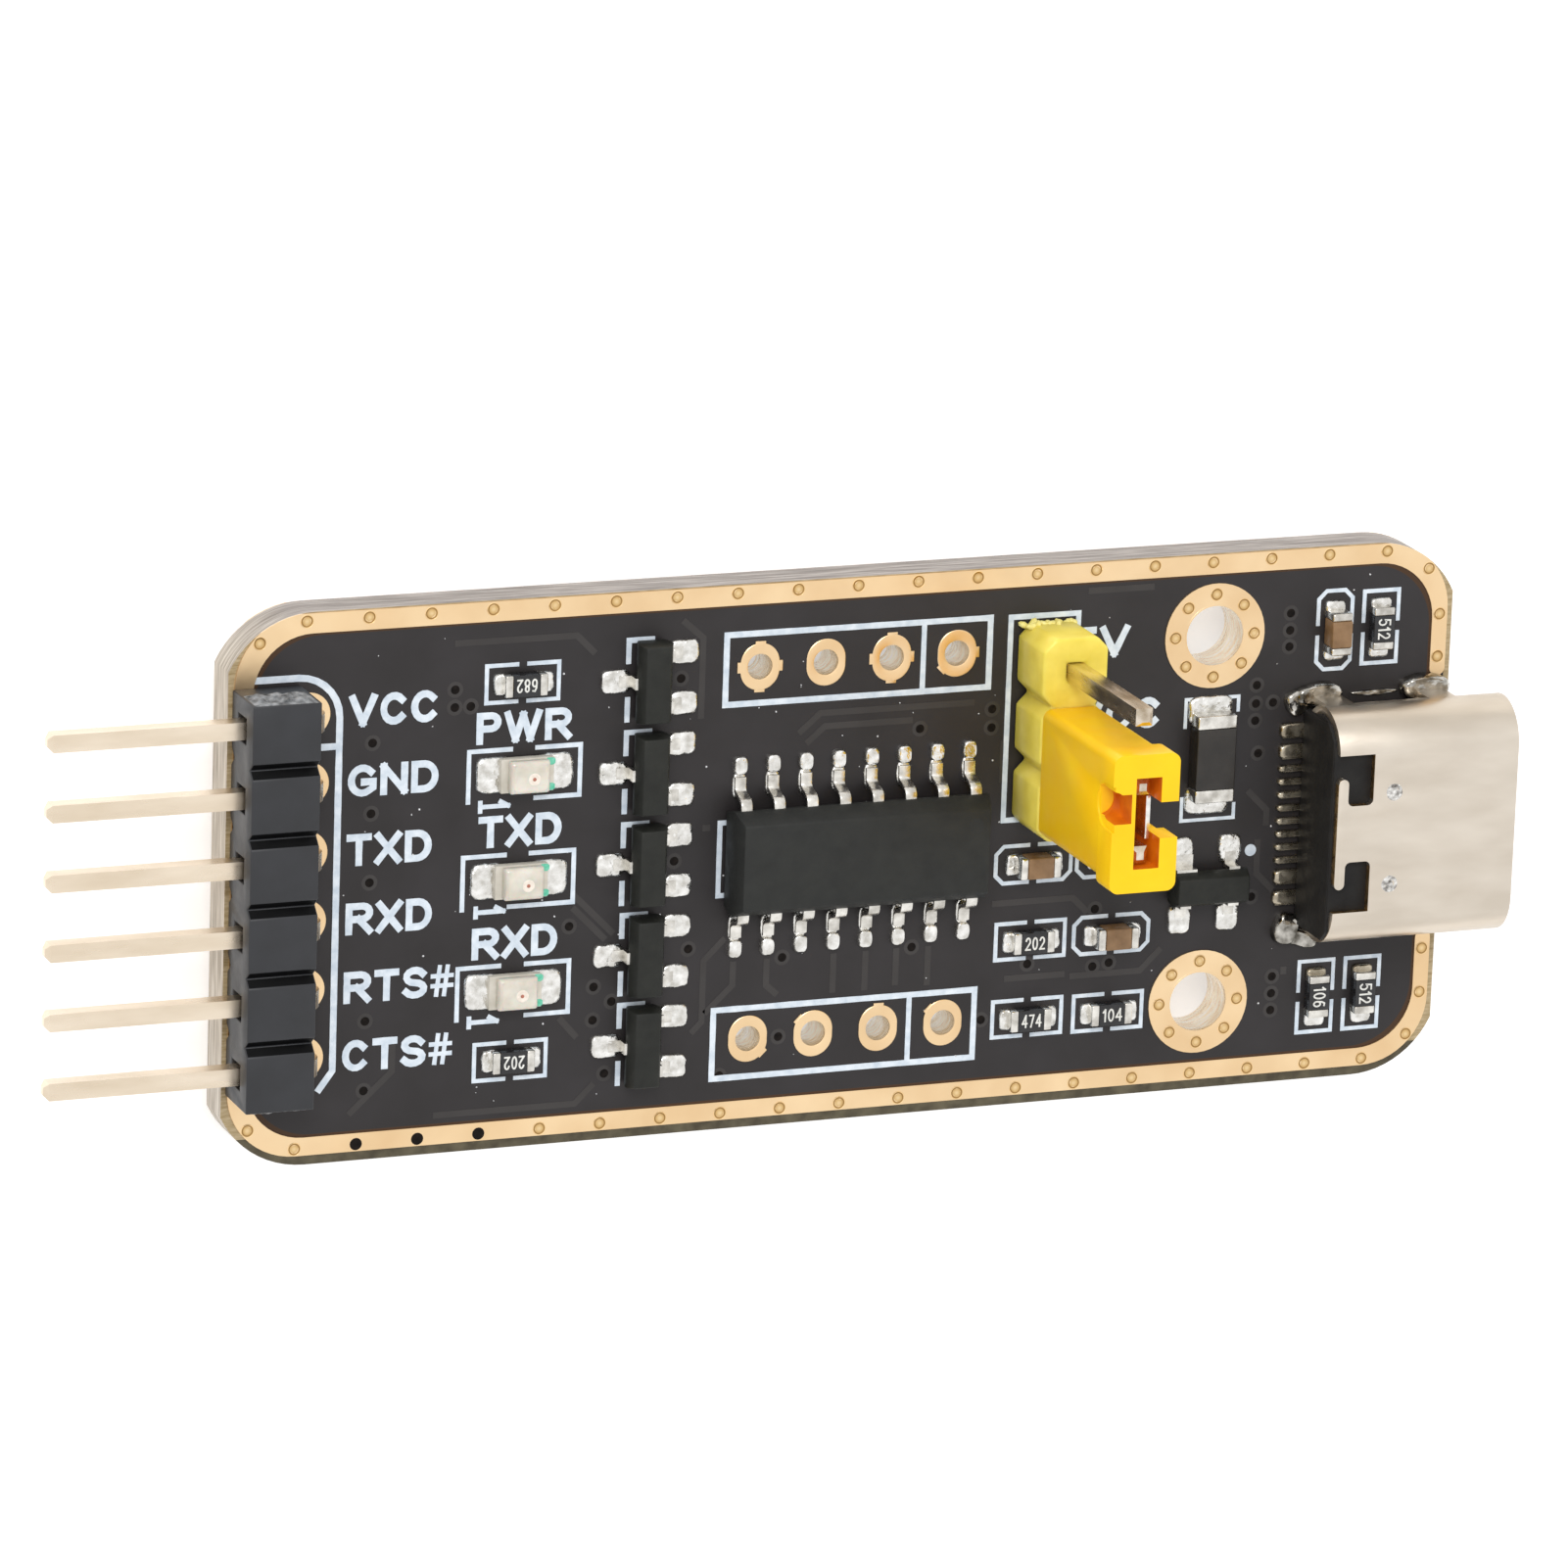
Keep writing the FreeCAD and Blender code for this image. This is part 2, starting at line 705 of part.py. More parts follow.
def straight_pin(name, x, y):
    """Square pin with both ends bevelled."""
    low = f"{UNDERSIDE} - tail_length"
    square = [
        ("0 - pin_square / 2", "0 - pin_square / 2"),
        ("pin_square / 2", "0 - pin_square / 2"),
        ("pin_square / 2", "pin_square / 2"),
        ("0 - pin_square / 2", "pin_square / 2"),
    ]
    pin = prism(name, "z", square, f"jumper_tip - ({low})", x, y, low)
    long = SIZES["jumper_tip"] + SIZES["board_thick"] + SIZES["tail_length"]
    ends = edges_where(pin.Tip, lambda at: abs(at.z) < 1e-3)
    ends += edges_where(pin.Tip, lambda at: abs(at.z - long) < 1e-3)
    return bevelled(pin, ends, "tip_bevel")


jumper_pins = [straight_pin(f"jumper_pin_{number}", x, y)
               for number, (x, y) in enumerate(JUMPER_PINS, start=1)]


# Jumper cap over the second and third pin: body, collar, open slot, window and scoop

CAP_X = "(jumper_column + cap_shift)"
CAP_Y = "(jumper_first - 1.5 * grid_pitch)"
CAP_FOOT = f"({BLOCK_TOP} + cap_lift)"
cap_body = rounded_plate("cap_body", "0 - cap_left", "cap_right", "0 - cap_front", "cap_back",
                         "0", f"cap_top - {CAP_FOOT}", "cap_corner")
place(cap_body, CAP_X, CAP_Y, CAP_FOOT)
cap_collar = rounded_plate("cap_collar", "0 - collar_width / 2", "collar_width / 2",
                           "0 - collar_length / 2", "collar_length / 2", "0",
                           "cap_top - collar_base", "cap_corner")
place(cap_collar, CAP_X, CAP_Y, "collar_base")
slot_middle = "(jumper_column + (slot_right - slot_left) / 2)"
cap_slot = box("cap_slot", slot_middle, CAP_Y, CAP_FOOT, "slot_left + slot_right",
               "2 * slot_end", f"cap_top - {CAP_FOOT}")
cap_window = box("cap_window", "(jumper_column + slot_right + collar_width / 2)",
                 f"({CAP_Y} + window_shift)", "cap_top - window_depth", "collar_width",
                 "window_width", "window_depth")
cap_scoop = cylinder("cap_scoop", f"({CAP_X} - collar_width / 2)", f"({CAP_Y} + scoop_shift)",
                     "collar_base", "scoop_radius", "cap_top - collar_base")
jumper_cap = less("jumper_cap", joined("cap_solid", [cap_body, cap_collar]),
                  joined("cap_openings", [cap_slot, cap_window, cap_scoop]))
clip_profile = [
    ("0 - clip_width / 2", "clip_foot"),
    ("clip_width / 2", "clip_foot"),
    ("clip_width / 2", "clip_shoulder"),
    ("clip_tongue / 2", "clip_shoulder"),
    ("clip_tongue / 2", "clip_top"),
    ("0 - clip_tongue / 2", "clip_top"),
    ("0 - clip_tongue / 2", "clip_shoulder"),
    ("0 - clip_width / 2", "clip_shoulder"),
]
jumper_clip = prism("jumper_clip", "x", clip_profile, "clip_thick",
                    "jumper_column + pin_square / 2 + clip_fit", CAP_Y, "0")


# Receptacle: drawn stadium shell with two hook-shaped cut-outs and four legs

USB_AXIS = "(skin_thick + usb_height / 2)"
inner_width = "(usb_width - 2 * usb_sheet)"
inner_height = "(usb_height - 2 * usb_sheet)"
shell_skin = stadium("shell_skin", "usb_width", "usb_height", "usb_length", "usb_rear",
                     MIDLINE, USB_AXIS)
shell_space = stadium("shell_space", inner_width, inner_height, "usb_length", "usb_rear",
                      MIDLINE, USB_AXIS)
shell_tube = less("shell_tube", shell_skin, shell_space)
legs = []
for number, (x, y, side) in enumerate(LEGS):
    legs.append(box(f"shell_leg_{number}", x, y, "0 - leg_depth", "leg_length", "leg_thick",
                    f"leg_depth + {USB_AXIS}"))
hooks = []
for name, side in (("back", ""), ("front", "0 - ")):
    corners = [
        ("0", f"{side}hook_outer"),
        ("hook_end", f"{side}hook_outer"),
        ("hook_end", f"{side}hook_inner"),
        ("hook_step", f"{side}hook_inner"),
        ("hook_step", f"{side}hook_neck"),
        ("0", f"{side}hook_neck"),
    ]
    hooks.append(prism(f"hook_{name}", "z", corners, "usb_height / 2", "usb_rear",
                       MIDLINE, USB_AXIS))
usb_shell = less("usb_shell", joined("shell_with_legs", [shell_tube] + legs),
                 joined("shell_hooks", hooks))

core_block = stadium("core_block", inner_width, inner_height, "core_length + core_back",
                     "usb_rear - core_back", MIDLINE, USB_AXIS)
core_tongue = box("core_tongue", "(usb_rear + (usb_length - tongue_recess) / 2)", MIDLINE,
                  f"{USB_AXIS} - tongue_thick / 2", "usb_length - tongue_recess",
                  "tongue_width", "tongue_thick")
usb_core = joined("usb_core", [core_block, core_tongue])

contacts = []
strip_x = "(usb_rear + usb_length - tongue_recess - contact_thick * 4 - contact_length / 2)"
for number in range(TONGUE_CONTACTS):
    across = f"({MIDLINE} + ({number} - {(TONGUE_CONTACTS - 1) / 2}) * contact_pitch)"
    for face, low in (("upper", f"{USB_AXIS} + tongue_thick / 2"),
                      ("lower", f"{USB_AXIS} - tongue_thick / 2 - contact_thick")):
        contacts.append(box(f"contact_{face}_{number}", strip_x, across, low, "contact_length",
                            "contact_width", "contact_thick"))
usb_contacts = group("usb_contacts", contacts)

lead_x = "(usb_rear - core_back - usb_lead_length / 2)"
usb_leads = []
usb_pads = []
usb_pad_x = "(usb_rear - core_back - usb_pad_out + usb_pad_length / 2)"
lead_rows = []
for number in range(NARROW_CONTACTS):
    offset = f"(({number} - {(NARROW_CONTACTS - 1) / 2}) * contact_pitch)"
    lead_rows.append((offset, "usb_lead_width"))
for offset in ("usb_wide_near", "usb_wide_far"):
    lead_rows.append((offset, "usb_wide_lead"))
    lead_rows.append((f"(0 - {offset})", "usb_wide_lead"))
for number, (offset, width) in enumerate(lead_rows):
    usb_leads.append(box(f"usb_lead_{number}", lead_x, f"({MIDLINE} + {offset})",
                         "skin_thick", "usb_lead_length", width, "usb_lead_thick"))
    usb_pads.append(box(f"usb_pad_{number}", usb_pad_x, f"({MIDLINE} + {offset})", "0",
                        "usb_pad_length", width, "skin_thick"))
usb_lead_group = group("usb_leads", usb_leads)

blobs = []
for number, (x, y, side) in enumerate(LEGS):
    outward = "" if side == "+" else "0 - "
    corners = [
        ("0", "0"),
        (f"{outward}blob_width", "0"),
        ("0", "blob_height"),
    ]
    blobs.append(prism(f"blob_{number}", "x", corners, "blob_length",
                       f"({x} - blob_length / 2)", f"({MIDLINE} {side} usb_width / 2)", "0"))
usb_solder = group("usb_solder", blobs)


# Moulded packages with bent leads

def package(name, x, y, length, width, stand, height, bevel, turn=0):
    """Moulded body, length along x, its long sides sloping away from the parting band."""
    half = f"{width} / 2"
    low = f"skin_thick + {stand}"
    band = f"({low} + {height} / 2)"
    corners = [
        (f"{bevel} - {half}", low),
        (f"{half} - {bevel}", low),
        (half, f"{band} - lead_thick / 2"),
        (half, f"{band} + lead_thick / 2"),
        (f"{half} - {bevel}", f"{low} + {height}"),
        (f"{bevel} - {half}", f"{low} + {height}"),
        (f"0 - {half}", f"{band} + lead_thick / 2"),
        (f"0 - {half}", f"{band} - lead_thick / 2"),
    ]
    body = prism(name, "x", corners, length, x, y, "0", turn)
    if turn:
        return place(body, x, f"{y} - {length} / 2", "0", turn)
    return place(body, f"{x} - {length} / 2", y, "0")


def lead_profile(width, stand, height, span):
    """Bent lead seen from its side: out of the parting band, down and out along its pad."""
    near = f"{width} / 2"
    far = f"{span} / 2"
    band = f"(skin_thick + {stand} + {height} / 2)"
    knee = f"({far} - lead_foot)"
    return [
        (near, f"{band} - lead_thick / 2"),
        (f"{knee} - lead_thick", f"{band} - lead_thick / 2"),
        (f"{knee} - lead_thick", "skin_thick"),
        (far, "skin_thick"),
        (far, "skin_thick + lead_thick"),
        (knee, "skin_thick + lead_thick"),
        (knee, f"{band} + lead_thick / 2"),
        (near, f"{band} + lead_thick / 2"),
    ]


def lead(name, profile, wide, x, y, offset, turn):
    """One bent lead; turn says which way it points, offset is counted across it."""
    body = prism(name, "x", profile, wide, "0", "0", "0", turn)
    if turn == 0:
        return place(body, f"{x} + {offset} - {wide} / 2", y, "0", turn)
    if turn == 180:
        return place(body, f"{x} + {offset} + {wide} / 2", y, "0", turn)
    if turn == 90:
        return place(body, x, f"{y} + {offset} - {wide} / 2", "0", turn)
    return place(body, x, f"{y} + {offset} + {wide} / 2", "0", turn)


CHIP_Y = f"({MIDLINE} + chip_shift)"
bridge_chip = package("bridge_chip", "chip_x", CHIP_Y, "chip_length", "chip_width",
                      "chip_stand", "chip_height", "chip_bevel")
chip_leads = []
chip_pads = []
gull = lead_profile("chip_width", "chip_stand", "chip_height", "chip_span")
for number in range(CHIP_LEADS):
    offset = f"({number} - {(CHIP_LEADS - 1) / 2}) * chip_pitch"
    for side, turn, name in (("+", 0, "back"), ("-", 180, "front")):
        chip_leads.append(lead(f"chip_lead_{name}_{number}", gull, "chip_lead_width", "chip_x",
                               CHIP_Y, offset, turn))
        chip_pads.append(box(f"chip_pad_{name}_{number}", f"(chip_x + {offset})",
                             f"({CHIP_Y} {side} chip_pad_middle)", "0", "chip_pad_width",
                             "chip_pad_length", "skin_thick"))
bridge_chip_leads = group("bridge_chip_leads", chip_leads)

transistors = []
transistor_leads = []
small_pads = []
small_gull = lead_profile("small_width", "small_stand", "small_height", "small_span")
for number in range(TRANSISTOR_COUNT):
    share = number / (TRANSISTOR_COUNT - 1)
    y = f"(0 - small_inset - {share} * (row_drop - 2 * small_inset))"
    transistors.append(package(f"transistor_{number + 1}", "small_x", y, "small_length",
                               "small_width", "small_stand", "small_height", "small_bevel", 90))
    for side, turn, offset in (("-", 90, "0"), ("+", 270, "small_lead_offset"),
                               ("+", 270, "(0 - small_lead_offset)")):
        mark = f"{number}_{len(transistor_leads)}"
        transistor_leads.append(lead(f"small_lead_{mark}", small_gull, "small_lead_width",
                                     "small_x", y, offset, turn))
        small_pads.append(box(f"small_pad_{mark}", f"(small_x {side} small_pad_middle)",
                              f"({y} + {offset})", "0", "small_pad_length",
                              "small_pad_width", "skin_thick"))
transistor_lead_group = group("transistor_leads", transistor_leads)

ARRAY_Y = "(0 - row_drop * array_share)"
surge_array = package("surge_array", "array_x", ARRAY_Y, "small_length", "small_width",
                      "small_stand", "small_height", "small_bevel")
array_leads = []
for number, (side, turn, offset, wide) in enumerate((
        ("+", 0, "(0 - small_lead_offset)", "small_wide_lead"),
        ("+", 0, "small_lead_offset", "small_lead_width"),
        ("-", 180, "(0 - small_lead_offset)", "small_lead_width"),
        ("-", 180, "small_lead_offset", "small_lead_width"))):
    array_leads.append(lead(f"array_lead_{number}", small_gull, wide, "array_x", ARRAY_Y,
                            offset, turn))
    small_pads.append(box(f"array_pad_{number}", f"(array_x + {offset})",
                          f"({ARRAY_Y} {side} small_pad_middle)", "0", "small_pad_width",
                          "small_pad_length", "skin_thick"))
surge_array_leads = group("surge_array_leads", array_leads)


# Two-ended surface parts on their pads

def along(x, y, across, offset):
    """Place at an offset along a part that lies along or across the board."""
    if across:
        return f"{x}", f"({y} + {offset})"
    return f"({x} + {offset})", f"{y}"


def flat_block(name, x, y, across, offset, z, length, width, height):
    """Block at an offset along a part."""
    px, py = along(x, y, across, offset)
    if across:
        return box(name, px, py, z, width, length, height)
    return box(name, px, py, z, length, width, height)


def two_ended(name, parts, height):
    """Bodies, metal ends and pads of a kind of chip part."""
    bodies = []
    ends = []
    pads = []
    for number, (x, share, across) in enumerate(parts):
        y = f"(0 - row_drop * {share})"
        middle = "chip_part_length - 2 * chip_part_end"
        bodies.append(flat_block(f"{name}_body_{number}", x, y, across, "0", "skin_thick",
                                 middle, "chip_part_width", height))
        for sign in ("", "0 - "):
            mark = f"{number}_{len(ends)}"
            reach = f"({sign}(chip_part_length - chip_part_end) / 2)"
            ends.append(flat_block(f"{name}_end_{mark}", x, y, across, reach, "skin_thick",
                                   "chip_part_end", "chip_part_width", height))
            pads.append(flat_block(f"{name}_pad_{mark}", x, y, across,
                                   f"({sign}part_pad_middle)", "0", "part_pad_length",
                                   "part_pad_width", "skin_thick"))
    return group(name + "s", bodies), group(name + "_ends", ends), pads


resistors, resistor_ends, resistor_pads = two_ended("resistor", RESISTORS, "resistor_height")
capacitors, capacitor_ends, capacitor_pads = two_ended("capacitor", CAPACITORS,
                                                       "capacitor_height")

FUSE_Y = "(0 - row_drop * fuse_share)"
fuse_body = flat_block("fuse_body", "fuse_x", FUSE_Y, True, "0", "skin_thick",
                       "fuse_length - 2 * fuse_end", "fuse_width", "fuse_height")
fuse_caps = []
fuse_pads = []
for sign in ("", "0 - "):
    mark = len(fuse_caps)
    fuse_caps.append(flat_block(f"fuse_cap_{mark}", "fuse_x", FUSE_Y, True,
                                f"({sign}(fuse_length - fuse_end) / 2)", "skin_thick",
                                "fuse_end", "fuse_width", "fuse_height"))
    fuse_pads.append(flat_block(f"fuse_pad_{mark}", "fuse_x", FUSE_Y, True,
                                f"({sign}fuse_pad_middle)", "0", "fuse_pad_length",
                                "fuse_pad_width", "skin_thick"))
fuse_ends = group("fuse_ends", fuse_caps)

lamps = []
lamp_pads = []
for name, x, share in LAMPS:
    y = f"(0 - row_drop * {share})"
    lamps.append(box(f"lamp_base_{name}", x, y, "skin_thick", "lamp_length", "lamp_width",
                     "lamp_base"))
    lens = prism(f"lamp_lens_{name}", "z", [
        ("0 - lens_length / 2", "0 - lens_width / 2"),
        ("lens_length / 2", "0 - lens_width / 2"),
        ("lens_length / 2", "lens_width / 2"),
        ("0 - lens_length / 2", "lens_width / 2"),
    ], "lens_height", x, y, "skin_thick + lamp_base")
    crown = SIZES["lens_height"]
    rounded(lens, edges_where(lens.Tip, lambda at: at.z > crown / 2), "lens_round")
    lamps.append(lens)
    for sign in ("", "0 - "):
        lamp_pads.append(flat_block(f"lamp_pad_{name}_{len(lamp_pads)}", x, y, False,
                                    f"({sign}lamp_pad_middle)", "0", "lamp_pad_length",
                                    "lamp_pad_width", "skin_thick"))

chip_pad_group = group("chip_pads", chip_pads)
surface_pads = group("surface_pads", resistor_pads + capacitor_pads + fuse_pads + lamp_pads
                     + small_pads + usb_pads)

NODES = [board, border_top, border_bottom]
NODES += mount_rings + [spare_pads_back, spare_pads_front, header_pads, jumper_pads]
NODES += [header_solder, jumper_solder, header_housing] + header_pins
NODES += [jumper_block] + jumper_pins + [jumper_cap, jumper_clip]
NODES += [usb_shell, usb_core, usb_contacts, usb_lead_group, usb_solder]
NODES += [bridge_chip, bridge_chip_leads] + transistors + [transistor_lead_group]
NODES += [surge_array, surge_array_leads, fuse_body, fuse_ends] + lamps
NODES += [resistors, resistor_ends, capacitors, capacitor_ends, chip_pad_group, surface_pads]

doc.recompute()
for thing in doc.Objects:
    if "Invalid" in thing.State or "Error" in thing.State:
        raise RuntimeError(f"{thing.Name} did not build")
os.makedirs("parts", exist_ok=True)
for node in NODES:
    if node.Shape.isNull() or not node.Shape.isValid() or node.Shape.Volume <= 0:
        raise RuntimeError(f"{node.Name} has no sound shape")
    node.Label = node.Name
    node.Shape.exportStep(f"parts/{node.Label}.step")
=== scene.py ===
# %% [markdown]
# This scene dresses a small adapter board, which joins a computer's USB port
# to a serial line. Everything could be modelled afresh for the picture, but
# then the seen part and the measured part would drift apart. So the solids
# stay the ground, and the pieces here either dress one of them or stand in
# for it.

# %% Load the solids
import math
import random

import bmesh
import bpy
from mathutils import Matrix, Vector, noise


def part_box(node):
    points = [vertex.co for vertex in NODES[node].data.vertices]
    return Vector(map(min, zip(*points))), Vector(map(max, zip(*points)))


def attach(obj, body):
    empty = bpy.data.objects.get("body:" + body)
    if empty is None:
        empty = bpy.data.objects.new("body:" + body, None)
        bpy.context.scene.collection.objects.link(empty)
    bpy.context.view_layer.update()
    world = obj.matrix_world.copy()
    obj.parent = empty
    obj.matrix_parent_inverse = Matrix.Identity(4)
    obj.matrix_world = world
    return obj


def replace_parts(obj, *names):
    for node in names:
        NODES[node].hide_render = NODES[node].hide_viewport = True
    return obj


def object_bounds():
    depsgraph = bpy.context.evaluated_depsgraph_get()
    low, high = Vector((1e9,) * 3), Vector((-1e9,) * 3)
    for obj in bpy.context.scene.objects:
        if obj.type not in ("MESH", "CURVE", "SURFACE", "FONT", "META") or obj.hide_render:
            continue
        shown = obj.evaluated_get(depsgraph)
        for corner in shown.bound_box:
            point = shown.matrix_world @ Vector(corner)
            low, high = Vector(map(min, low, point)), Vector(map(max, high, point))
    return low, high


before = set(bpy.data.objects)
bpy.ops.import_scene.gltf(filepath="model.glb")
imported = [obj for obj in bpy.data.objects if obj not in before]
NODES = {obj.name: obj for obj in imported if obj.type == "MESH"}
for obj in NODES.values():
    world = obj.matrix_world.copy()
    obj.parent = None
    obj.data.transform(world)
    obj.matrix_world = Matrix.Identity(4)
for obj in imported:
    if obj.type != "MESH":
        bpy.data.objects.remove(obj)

CAD_BOX = [list(corner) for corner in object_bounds()]
MM = 0.001

# %% [markdown]
# Everything on the board was measured in millimetres from one point: the
# centre of the first spare hole, on the board's upper face. Boards of this
# kind are drawn on a 2.54 mm grid, so the holes are the surest ruler that the
# object carries. The point is read back from the solids here.

# %% Measuring from the first spare hole
SPARE_PAD_HALF = 0.76
pads_low, pads_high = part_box("spare_pads_back")
board_low, board_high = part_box("board")
FIRST_HOLE = Vector(
    (
        pads_low.x + SPARE_PAD_HALF * MM,
        (pads_low.y + pads_high.y) / 2,
        board_high.z,
    )
)
BOARD_THICK = (board_high.z - board_low.z) / MM


def at(x, y, z=0.0):
    """A place in mm from the first spare hole, as metres in the frame."""
    return FIRST_HOLE + Vector((x, y, z)) * MM


def local_box(node):
    """A solid's lowest and highest corner, in mm from the first spare hole."""
    return [(corner - FIRST_HOLE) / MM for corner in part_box(node)]


print("first hole:", [round(v / MM, 3) for v in FIRST_HOLE])
print("board thickness:", round(BOARD_THICK, 3))

# %% [markdown]
# Each finish is one node material. A picture could be laid on the mesh
# instead, but it blurs close up and stretches on the side walls, so the tones
# are made by patterns. The colour comes from a cloudy pattern between two
# tones, the gloss from a second one and the relief from a third, finer one.
# All of them read the object's own coordinates, so they have a real size in
# millimetres and stay where they are when the view turns.


# %% Short calls for materials
def tint(red, green, blue):
    """A screen colour of 0 to 255 as the linear colour that a shader reads."""
    line = [
        v / 12.92 if v <= 0.04045 else ((v + 0.055) / 1.055) ** 2.4
        for v in (red / 255, green / 255, blue / 255)
    ]
    return (*line, 1.0)


class Finish:
    """One material, with short calls for the nodes that it is made of."""

    def __init__(self, name, metal=0.0, **constants):
        self.material = bpy.data.materials.new(name)
        self.material.use_nodes = True
        self.tree = self.material.node_tree
        self.shader = self.tree.nodes["Principled BSDF"]
        self.shader.inputs["Metallic"].default_value = metal
        for socket, value in constants.items():
            self.shader.inputs[socket.replace("_", " ")].default_value = value
        source = self.tree.nodes.new("ShaderNodeTexCoord")
        self.place = source.outputs["Object"]

    def add(self, kind, inputs, **settings):
        """A node with its settings, its inputs linked or set to a constant."""
        node = self.tree.nodes.new(kind)
        for name, value in settings.items():
            setattr(node, name, value)
        for socket, value in inputs.items():
            if isinstance(value, bpy.types.NodeSocket):
                self.tree.links.new(value, node.inputs[socket])
            else:
                node.inputs[socket].default_value = value
        return node

    def sum(self, operation, first, second=0.0):
        node = self.add("ShaderNodeMath", {0: first, 1: second}, operation=operation)
        return node.outputs[0]

    def part(self, vector, axis):
        return self.add("ShaderNodeSeparateXYZ", {0: vector}).outputs[axis]

    def grain(self, size, stretch=(1, 1, 1), detail=3.0):
        """A cloudy pattern with patches about size mm across."""
        scale = [share / (size * MM) for share in stretch]
        spread = self.add("ShaderNodeMapping", {"Vector": self.place, "Scale": scale})
        inputs = {"Vector": spread.outputs[0], "Scale": 1.0, "Detail": detail}
        return self.add("ShaderNodeTexNoise", inputs).outputs["Fac"]

    def ramp(self, factor, *stops):
        """A blend of screen colours, given as (position, colour) stops."""
        node = self.add("ShaderNodeValToRGB", {"Fac": factor})
        elements = node.color_ramp.elements
        while len(elements) < len(stops):
            elements.new(0.5)
        for element, (position, colour) in zip(elements, stops):
            element.position = position
            element.color = tint(*colour)
        return node.outputs["Color"]

    def mixed(self, factor, first, second):
        colours = {"Color1": first, "Color2": second}
        for name, value in colours.items():
            if isinstance(value, tuple):
                colours[name] = tint(*value)
        return self.add("ShaderNodeMixRGB", {"Fac": factor, **colours}).outputs[0]

    def between(self, factor, low, high, start=0.3, end=0.7):
        """Low where the factor is at its start, high where it is at its end."""
        inputs = {"Value": factor, "From Min": start, "From Max": end}
        inputs |= {"To Min": low, "To Max": high}
        return self.add("ShaderNodeMapRange", inputs).outputs[0]

    def set(self, socket, value):
        self.tree.links.new(value, self.shader.inputs[socket])
        return self

    def relief(self, height, depth):
        bump = self.add("ShaderNodeBump", {"Height": height, "Distance": depth * MM})
        return self.set("Normal", bump.outputs[0])


def finish(name, dark, light, size, gloss, fine, depth, stretch=(1, 1, 1), **more):
    """The usual finish: two tones in patches of size mm, and a relief of fine mm."""
    made = Finish(name, **more)
    made.set("Base Color", made.ramp(made.grain(size, stretch), (0.3, dark), (0.7, light)))
    made.set("Roughness", made.between(made.grain(size * 0.6, stretch), *gloss))
    return made.relief(made.grain(fine, stretch), depth)


# %% [markdown]
# The board is woven glass in resin, and its faces carry a black varnish, the
# solder mask. The mask stops a little inside the edge and leaves a bare
# strip, which is khaki at the ends. Along the front that strip is painted a
# darker olive: painted shade, standing in for the shade that falls there.
# Just inside the gold border runs a thin brown line, where the mask was kept
# off the copper.
# Thin extra pieces could show these lines, but they would add steps that the
# real face hasn't. Both lines follow a rounded rectangle, so the material
# measures how far a point lies from one and changes its colour there.

# %% The mask and its two lines
RING_CENTRE, RING_HALF, RING_ROUND = (3.66, -6.96), (23.42, 10.0), 3.2
INNER_CENTRE, INNER_HALF, INNER_ROUND = (3.695, -6.985), (22.795, 9.315), 2.5
FRONT_SHADE_FROM, LINE_INSIDE, LINE_OUTSIDE = -16.2, 0.09, 0.3


def beyond(made, centre, half, rounding):
    """How far outside a rounded rectangle a point of the board lies, in metres."""
    middle = at(*centre)
    inputs = {0: made.place, 1: middle}
    shifted = made.add("ShaderNodeVectorMath", inputs, operation="SUBTRACT")
    across = []
    for axis in range(2):
        side = made.sum("ABSOLUTE", made.part(shifted.outputs[0], axis))
        side = made.sum("SUBTRACT", side, (half[axis] - rounding) * MM)
        side = made.sum("MAXIMUM", side, 0.0)
        across.append(made.sum("MULTIPLY", side, side))
    length = made.sum("SQRT", made.sum("ADD", *across))
    return made.sum("SUBTRACT", length, rounding * MM)


mask = Finish("solder_mask", Specular_IOR_Level=0.32)
clouds = mask.grain(2.4)
varnish = mask.ramp(clouds, (0.3, (40, 37, 37)), (0.7, (47, 44, 45)))
bare = mask.ramp(
    mask.grain(0.5, (1, 6, 6)), (0.3, (150, 130, 92)), (0.7, (188, 170, 138))
)
# Painted shade: the bare strip along the front is painted a darker olive.
front = mask.ramp(mask.grain(0.6), (0.3, (62, 55, 41)), (0.7, (96, 89, 70)))
in_front_shade = mask.sum("LESS_THAN", mask.part(mask.place, 1), at(0, FRONT_SHADE_FROM).y)
bare = mask.mixed(in_front_shade, bare, front)
to_ring = beyond(mask, RING_CENTRE, RING_HALF, RING_ROUND)
colour = mask.mixed(mask.sum("GREATER_THAN", to_ring, 0.0), varnish, bare)
to_inner = beyond(mask, INNER_CENTRE, INNER_HALF, INNER_ROUND)
near_inner = mask.sum("GREATER_THAN", to_inner, -LINE_INSIDE * MM)
inside_ring = mask.sum("LESS_THAN", to_inner, LINE_OUTSIDE * MM)
brown_line = mask.sum("MULTIPLY", near_inner, inside_ring)
mask.set("Base Color", mask.mixed(brown_line, colour, (66, 44, 24)))
mask.set("Roughness", mask.between(mask.grain(1.3), 0.36, 0.5))
mask.relief(mask.grain(0.25), 0.0015)
print("mask made; its edge lies", RING_HALF, "mm from the middle")

# %% [markdown]
# The board's edge is sawn glass cloth: thin pale threads lie flat in greyer
# resin. A pattern stretched along the board and squeezed upwards gives those
# layers. The two short ends are paler than the long sides, so the tone changes
# with the distance from the board's middle. Under the mask lie the copper
# tracks, which only make it a shade lighter.

